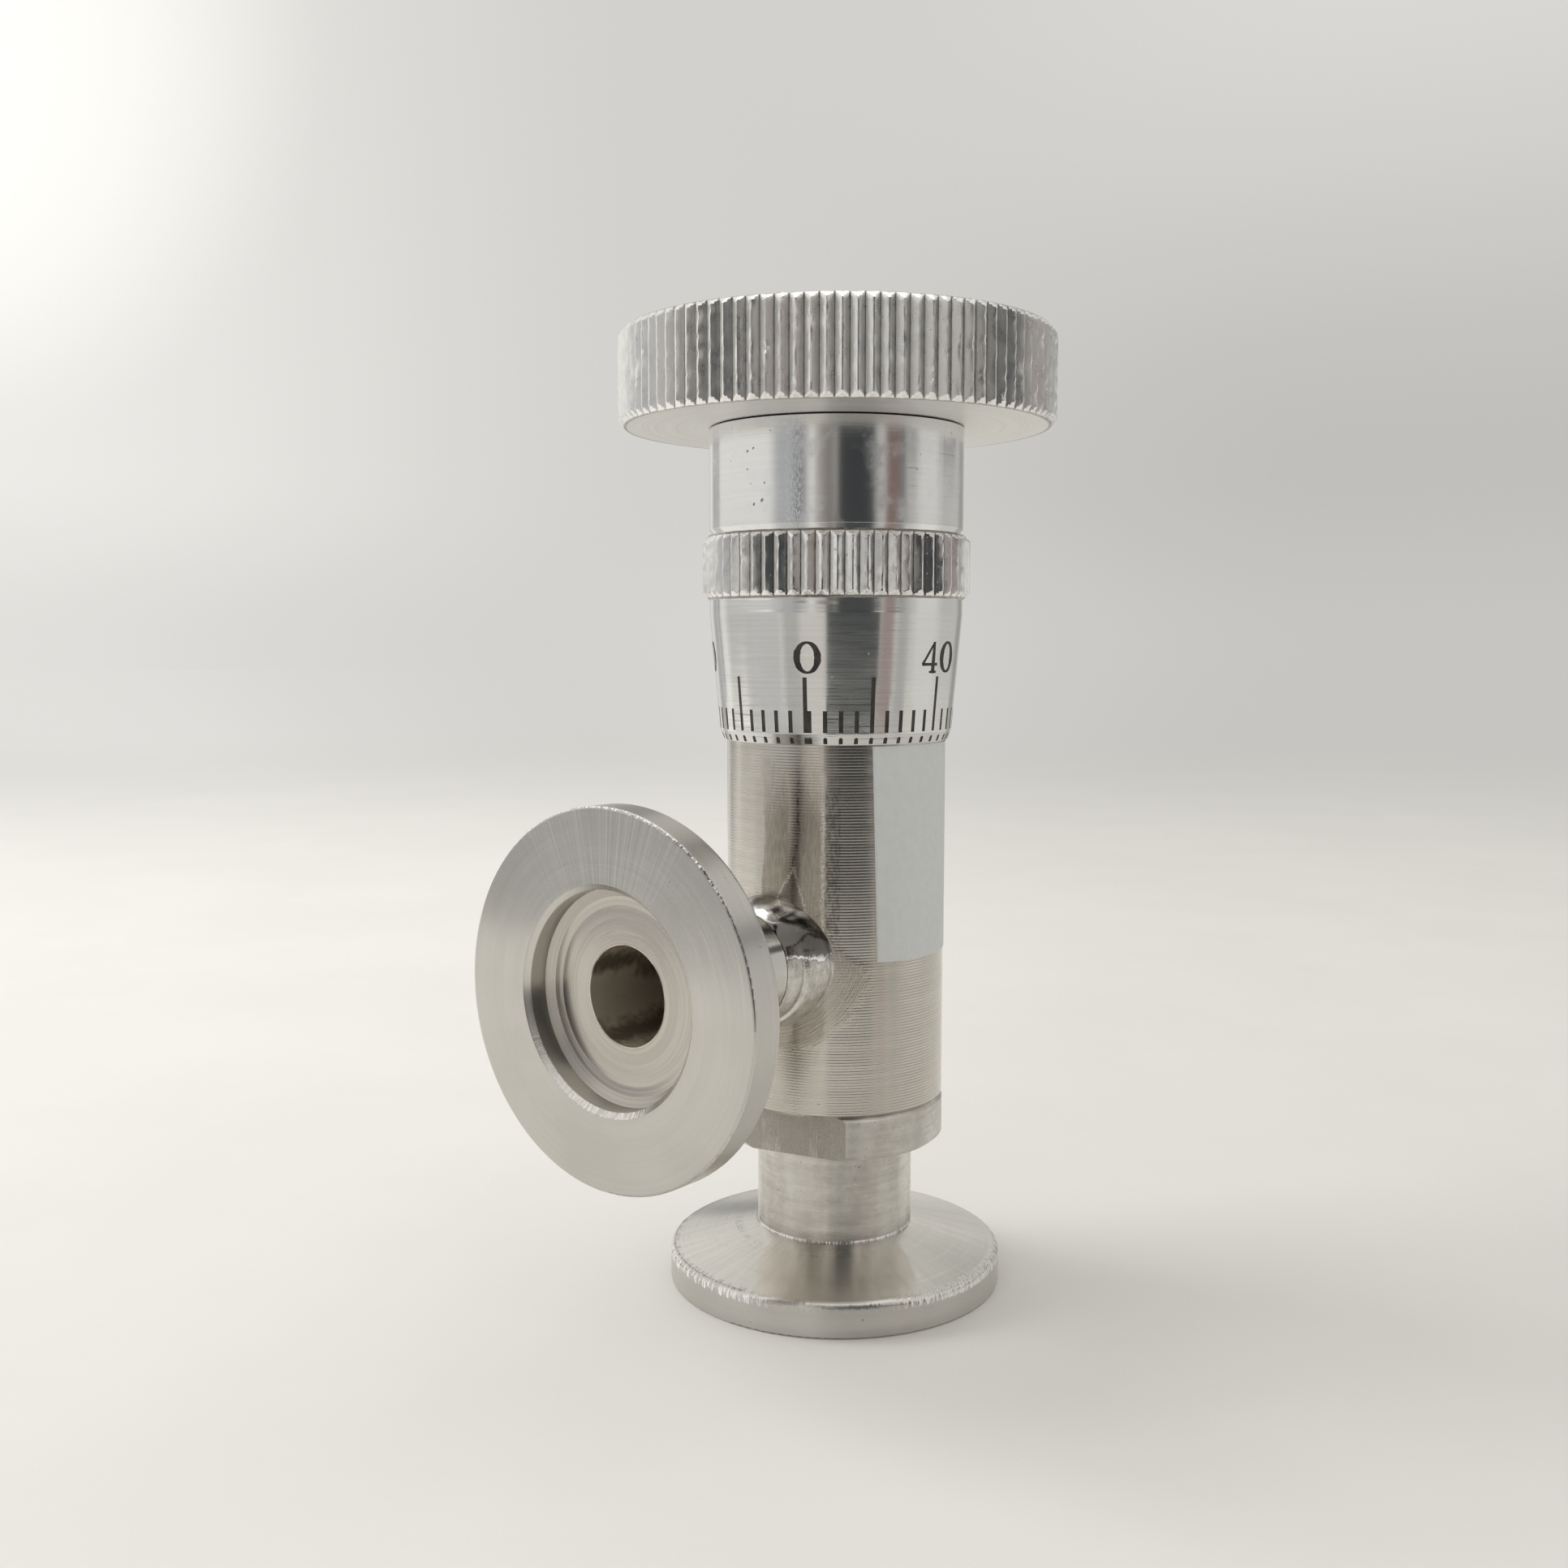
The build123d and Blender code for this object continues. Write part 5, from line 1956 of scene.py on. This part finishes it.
HIGH = {"bottom": 0.068, "top": 0.15}
LOW = {"bottom": 0.0005, "top": 0.074}
CARDS = (
    Card("dark_card", (0.038, 0.042, 0.045), 17.0, 19.5, soft=0.16, bottom=0.068, top=0.36),
    Card("grey_card", (0.22, 0.20, 0.18), -6.5, 9.0, 0.170, soft=0.4, bottom=0.068, top=0.24),
    Card("warm_card", (0.38, 0.355, 0.33), -14.0, 5.0, 0.174, soft=0.3, **HIGH),
    Card("left_line", (0.20, 0.20, 0.205), -31.5, 7.5, 0.178, soft=0.3, **HIGH),
    Card("left_card", (0.43, 0.44, 0.45), -40.5, 21.5, 0.182, soft=0.3, **HIGH),
    Card("low_dark_card", (0.052, 0.058, 0.058), 15.0, 24.5, soft=0.03, foot=0.90, **LOW),
    Card("low_stripe", (0.63, 0.60, 0.57), -19.5, 12.0, 0.170, soft=0.08, **LOW),
    Card("low_left_card", (0.45, 0.44, 0.42), -40.0, 14.0, 0.174, soft=0.35, **LOW),
    Card("face_card", (0.55, 0.545, 0.535), -78.8, 28.1, 0.210, soft=0.04, twist=49.9, **LOW),
    Card("dial_card", (0.54, 0.53, 0.51), -98.0, 22.0, 0.215, soft=0.2, bottom=0.022, top=0.074),
    Card("edge_line", (0.34, 0.34, 0.34), -130.0, 3.0, 0.200, soft=0.3, bottom=0.03, top=0.24),
    Card("rose_card", (0.19, 0.125, 0.11), 49.0, 7.5, 0.170, soft=0.2, **HIGH),
    Card("right_card", (0.16, 0.16, 0.16), 58.0, 7.0, 0.174, soft=0.4, **HIGH),
    Card("low_rose_card", (0.33, 0.27, 0.25), 46.0, 8.5, 0.170, soft=0.25, **LOW),
    Card("low_right_card", (0.43, 0.425, 0.41), 61.0, 9.5, 0.174, soft=0.4, **LOW),
    Card("right_panel", (0.70, 0.695, 0.675), 88.0, 18.0, 0.19, soft=0.25, top=0.118),
    Card(
        "right_upper_card", (0.095, 0.095, 0.095), 98.0, 38.0, 0.20,
        soft=0.2, bottom=0.1, top=0.145,
    ),
    Card("back_left_card", (0.44, 0.44, 0.43), -141.0, 10.0, 0.28, soft=0.35, top=0.126),
    Card("back_right_card", (0.34, 0.34, 0.32), 150.0, 14.0, 0.28, soft=0.4),
    Card("back_card", (0.32, 0.32, 0.315), -172.0, 8.0, 0.29, soft=0.3),
)


@dataclass(frozen=True)
class Lamp:
    """Soft square lamp aimed at the object, placed from the camera's bearing.

    Its level is the brightness that it gives a white surface facing it.
    """

    name: str
    bearing: float
    rise: float
    distance: float
    size: float
    level: float

    def build(self, toward: Vector, aim: Vector) -> None:
        """Hang the lamp.

        Args:
            toward: unit vector from the object to the lamp.
            aim: point that it shines at, in metres.
        """
        lamp = bpy.data.lights.new(self.name, "AREA")
        lamp.size = self.size
        lamp.energy = self.level * (math.pi * self.distance) ** 2
        light = bpy.data.objects.new(self.name, lamp)
        light.location = aim + toward * self.distance
        light.rotation_euler = toward.to_track_quat("Z", "Y").to_euler()
        light.visible_camera = False
        light.visible_glossy = False
        bpy.context.scene.collection.objects.link(light)


LAMPS = (
    Lamp("window_light", -95.0, 32.0, 0.65, 0.40, 0.52),
    Lamp("fill_light", 110.0, 30.0, 0.70, 0.40, 0.03),
    Lamp("top_light", 150.0, 75.0, 0.60, 0.35, 0.12),
)


@dataclass
class Studio:
    """Pale floor and backdrop, soft lamps, reflection cards and the camera."""

    camera_place: tuple[float, float, float] = (84.89, -113.93, 58.10)
    camera_turn: tuple[float, float, float] = (84.747, 0.0, 38.557)
    lens: float = 36.405
    sensor: float = 36.0
    clip: tuple[float, float] = (0.005, 10.0)
    aim: tuple[float, float, float] = (0.0, 0.0, 0.045)
    floor_radius: float = 3.0
    floor_sides: int = 72

    @property
    def facing(self) -> float:
        """Bearing of the camera from the upright axis, in degrees."""
        return math.degrees(math.atan2(self.camera_place[1], self.camera_place[0]))

    def direction(self, bearing: float, rise: float) -> Vector:
        """Unit vector at a bearing right of the camera's own and an elevation."""
        lift = math.radians(rise)
        return ring_point(self.facing + bearing, math.cos(lift), math.sin(lift))

    def backdrop_tone(self, sheet: Sheet, place: Level) -> Value:
        """Pale grey that is brighter towards the window side.

        Args:
            sheet: tree that gets the nodes.
            place: direction from the object.

        Returns:
            Value with the colour.
        """
        unit = sheet.unit(place)
        height = sheet.split(unit)[2]
        side = sheet.dot(unit, tuple(self.direction(90.0, 0.0)))
        window = sheet.dot(unit, tuple(self.direction(211.0, 19.0)))
        tone = (
            sheet.ease(side, -0.5, -0.1, 0.20, 0.0)
            + sheet.ease(side, -0.15, 0.3, 0.64, 0.52)
            + sheet.ease(height, 0.10, 0.38, 0.0, 0.17) * sheet.ease(side, -0.1, 0.3)
            + sheet.fade(height, 0.0, 0.10) * sheet.ease(side, -0.42, 0.0, -0.09, 0.04)
            + sheet.ease(window, 0.972, 1.0, 0.0, 0.20)
        )
        return sheet.scaled((1.015, 1.0, 0.96), tone)

    def build_world(self) -> None:
        """Backdrop tone in every direction."""
        world = bpy.data.worlds.new("studio")
        world.use_nodes = True
        world.node_tree.nodes.clear()
        sheet = Sheet(world.node_tree)
        tone = self.backdrop_tone(sheet, sheet.place("Generated"))
        sheet.cover(sheet.result("ShaderNodeBackground", tone), "ShaderNodeOutputWorld")
        bpy.context.scene.world = world

    def build_floor(self) -> None:
        """White paper under the object, with painted shade towards the right, that runs into the
        backdrop's tone.
        """
        mesh = bpy.data.meshes.new("floor")
        sides = self.floor_sides
        ring = [ring_point(360 / sides * step, self.floor_radius, 0.0) for step in range(sides)]
        faces = [(0, step, step % sides + 1) for step in range(1, sides + 1)]
        mesh.from_pydata([Vector((0, 0, 0))] + ring, [], faces)
        material = empty_material("paper_floor")
        skin = Skin(material.node_tree)
        right = self.direction(90.0, 0.0)
        # Painted shade: the paper darkens towards the right, away from the window light.
        near = skin.ease(skin.x * right.x + skin.y * right.y, -70.0, 70.0)
        pale = skin.mix(near, (0.80, 0.785, 0.755), (0.735, 0.722, 0.692))
        shade = skin.mix(near, (0.775, 0.76, 0.73), (0.712, 0.70, 0.67))
        mottle = skin.noise(skin.point, 0.02, 4.0, 0.6)
        tone = skin.mix(skin.ease(mottle, 0.3, 0.7), shade, pale)
        paper = skin.result("ShaderNodeBsdfDiffuse", tone)
        glow = skin.glow(self.backdrop_tone(skin, skin.vector(skin.x, skin.y, 0.0)))
        skin.cover(skin.blend(skin.ease(skin.radius, 150.0, 900.0), paper, glow))
        mesh.materials.append(material)
        floor = bpy.data.objects.new("floor", mesh)
        bpy.context.scene.collection.objects.link(floor)

    def build_camera(self) -> None:
        """Camera at the photograph's place, turn and lens."""
        camera = bpy.data.cameras.new("camera")
        camera.sensor_width = self.sensor
        camera.sensor_fit = "HORIZONTAL"
        camera.lens = self.lens
        camera.clip_start, camera.clip_end = self.clip
        holder = bpy.data.objects.new("camera", camera)
        holder.location = Vector(self.camera_place) * MM
        holder.rotation_euler = tuple(math.radians(turn) for turn in self.camera_turn)
        bpy.context.scene.collection.objects.link(holder)
        bpy.context.scene.camera = holder

    def build(self) -> None:
        """Make the whole set."""
        bpy.context.scene.view_settings.view_transform = "Standard"
        self.build_camera()
        self.build_world()
        self.build_floor()
        for lamp in LAMPS:
            lamp.build(self.direction(lamp.bearing, lamp.rise), Vector(self.aim))
        for card in CARDS:
            card.build(self.facing)
        Ceiling().build()
        LOG.info("built the studio")


@dataclass
class Workshop:
    """Gives every CAD node and every new piece its finish."""

    steel: Colour = (0.67, 0.65, 0.615)
    steel_shade: Colour = (0.62, 0.60, 0.565)
    aluminium: Colour = (0.82, 0.815, 0.80)
    aluminium_shade: Colour = (0.77, 0.765, 0.75)
    bronze: Colour = (0.62, 0.43, 0.24)

    def node_finishes(self) -> dict[str, Finish]:
        """Finish of each CAD node that stays in view.

        Returns:
            Finish by the name of its CAD node.
        """
        plain_steel = GroundFinish("ground_steel", self.steel, self.steel_shade, 0.22, 0.002)
        turned_steel = TurnedFinish("turned_steel", self.steel, self.steel_shade)
        bronze = TurnedFinish("turned_bronze", self.bronze, (0.50, 0.33, 0.17))
        rubber = SoftFinish(
            "black_rubber", (0.022, 0.022, 0.022), (0.012, 0.012, 0.012), 0.6, 0.004, 9.0
        )
        return {
            "valve_barrel": BarrelFinish(
                "barrel_steel", (0.68, 0.65, 0.60), (0.60, 0.57, 0.52), 0.20, 0.5, pitch=0.25,
                groove=0.19, hairline=0.06, pits=0.05,
            ),
            "side_port": PortFinish(
                "port_steel", self.steel, self.steel_shade, 0.16, 0.6, Axis.SIDE_PORT, pitch=0.16,
                groove=0.010, hairline=0.026, pits=0.01,
            ),
            "inlet_fitting": FittingFinish(
                "fitting_steel", self.steel, self.steel_shade, 0.25, 0.95, pitch=0.15, groove=0.012,
                hairline=0.04, pits=0.04,
            ),
            "graduated_thimble": ThimbleFinish(
                "satin_aluminium", self.aluminium, self.aluminium_shade, 0.16, 0.6, pitch=0.11,
                groove=0.02, hairline=0.10, pits=0.03,
            ),
            "neck_sleeve": NeckFinish(
                "polished_aluminium", self.aluminium, self.aluminium_shade, 0.17, 0.3, pitch=0.09,
                groove=0.006, hairline=0.03, pits=0.05, pit_size=0.12,
            ),
            "label": SoftFinish(
                "label_paper", (0.64, 0.653, 0.652), (0.61, 0.622, 0.622), 0.55, 0.002, 11.0
            ),
            "inlet_seal": rubber,
            "gland_seal": rubber,
            "stem_seals": rubber,
            "valve_seat": SoftFinish(
                "seat_plastic", (0.86, 0.86, 0.84), (0.80, 0.80, 0.78), 0.4, 0.002, 5.0
            ),
            "stem_gland": bronze,
            "screw_nut": bronze,
            "spring_sleeve": turned_steel,
            "return_spring": plain_steel,
            "lock_screw": GroundFinish(
                "black_steel", (0.16, 0.16, 0.165), (0.10, 0.10, 0.10), 0.35, 0.004
            ),
            "needle": turned_steel,
            "needle_stem": turned_steel,
            "cross_pin": plain_steel,
            "thrust_ball": GroundFinish(
                "ball_steel", (0.72, 0.72, 0.72), (0.66, 0.66, 0.66), 0.08, 0.0005
            ),
            "micrometer_screw": turned_steel,
            "drive_key": plain_steel,
            "handwheel_washer": turned_steel,
            "handwheel_screw": TurnedFinish(
                "screw_steel", (0.70, 0.69, 0.67), (0.60, 0.59, 0.57), 0.2, 0.3, pitch=0.2,
                groove=0.001,
            ),
        }

    def dress_nodes(self) -> None:
        """Put each finish on its CAD node."""
        made: dict[str, bpy.types.Material] = {}
        for node, finish in self.node_finishes().items():
            if finish.name not in made:
                made[finish.name] = finish.build()
            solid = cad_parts[node]
            if not solid.material_slots:
                solid.data.materials.append(None)
            for slot in solid.material_slots:
                slot.material = made[finish.name]
            LOG.info("dressed %s with %s", node, finish.name)

    def handwheel(self) -> KnurledRim:
        """Big knurled wheel with its counterbore.

        Returns:
            The wheel, ready to build.
        """
        low, high = span("handwheel")
        counterbore, shaft = 4.7, 4.03
        floor = span("handwheel_washer")[0].z
        bore = [
            (counterbore + 0.3, high.z), (counterbore, high.z - 0.3), (counterbore, floor),
            (shaft, floor), (shaft, low.z), (10.0, low.z), (15.0, low.z),
        ]
        return KnurledRim(
            "knurled_handwheel", "handwheel", teeth=100, tip_radius=19.15, depth=0.5, phase=-53.8,
            chamfer=0.52, bore=bore, nick=0.30, chatter=0.035, land=0.10, seed=1.7,
        )

    def lock_ring(self) -> KnurledRim:
        """Knurled nut above the dial.

        Returns:
            The ring, ready to build.
        """
        low, high = span("lock_ring")
        bore = [(9.0, high.z), (5.53, high.z), (5.53, low.z), (9.0, low.z)]
        return KnurledRim(
            "knurled_lock_ring", "lock_ring", teeth=59, tip_radius=11.83, depth=0.44, phase=-68.0,
            chamfer=0.62, bore=bore, nick=0.22, chatter=0.055, land=0.08, seed=5.2,
        )

    def build(self) -> None:
        """Dress the CAD nodes and add the scene's own pieces."""
        self.dress_nodes()
        wheel = KnurlFinish(
            "blasted_aluminium", (0.93, 0.92, 0.90), (0.45, 0.435, 0.405), root=18.65, tip=19.15,
            roughness=0.30, grain=0.006, streak=0.010, pits=0.035,
        )
        ring = KnurlFinish(
            "rough_aluminium", (0.87, 0.86, 0.84), (0.28, 0.265, 0.25), root=11.39, tip=11.83,
            roughness=0.12, grain=0.009, streak=0.005, pits=0.12,
        )
        self.handwheel().build(wheel.build())
        self.lock_ring().build(ring.build())
        paint = SoftFinish(
            "mark_paint", (0.016, 0.014, 0.012), (0.05, 0.044, 0.038), 0.6, 0.02, 7.0,
        ).build()
        dial = Dial(
            bevel_z=50.1, cone_top_z=60.15, base_radius=10.3, edge_radius=9.95, hub_radius=11.2
        )
        dial.marks(paint)
        dial.numerals(paint)
        weld = WeldFinish("weld_steel", (0.27, 0.26, 0.245), (0.76, 0.74, 0.70), 0.09, 0.25)
        WeldBead().build(weld.build())


def main() -> None:
    """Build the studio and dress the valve."""
    logging.basicConfig(level=logging.INFO, format="%(name)s: %(message)s")
    Studio().build()
    Workshop().build()


if __name__ == "__main__":
    main()
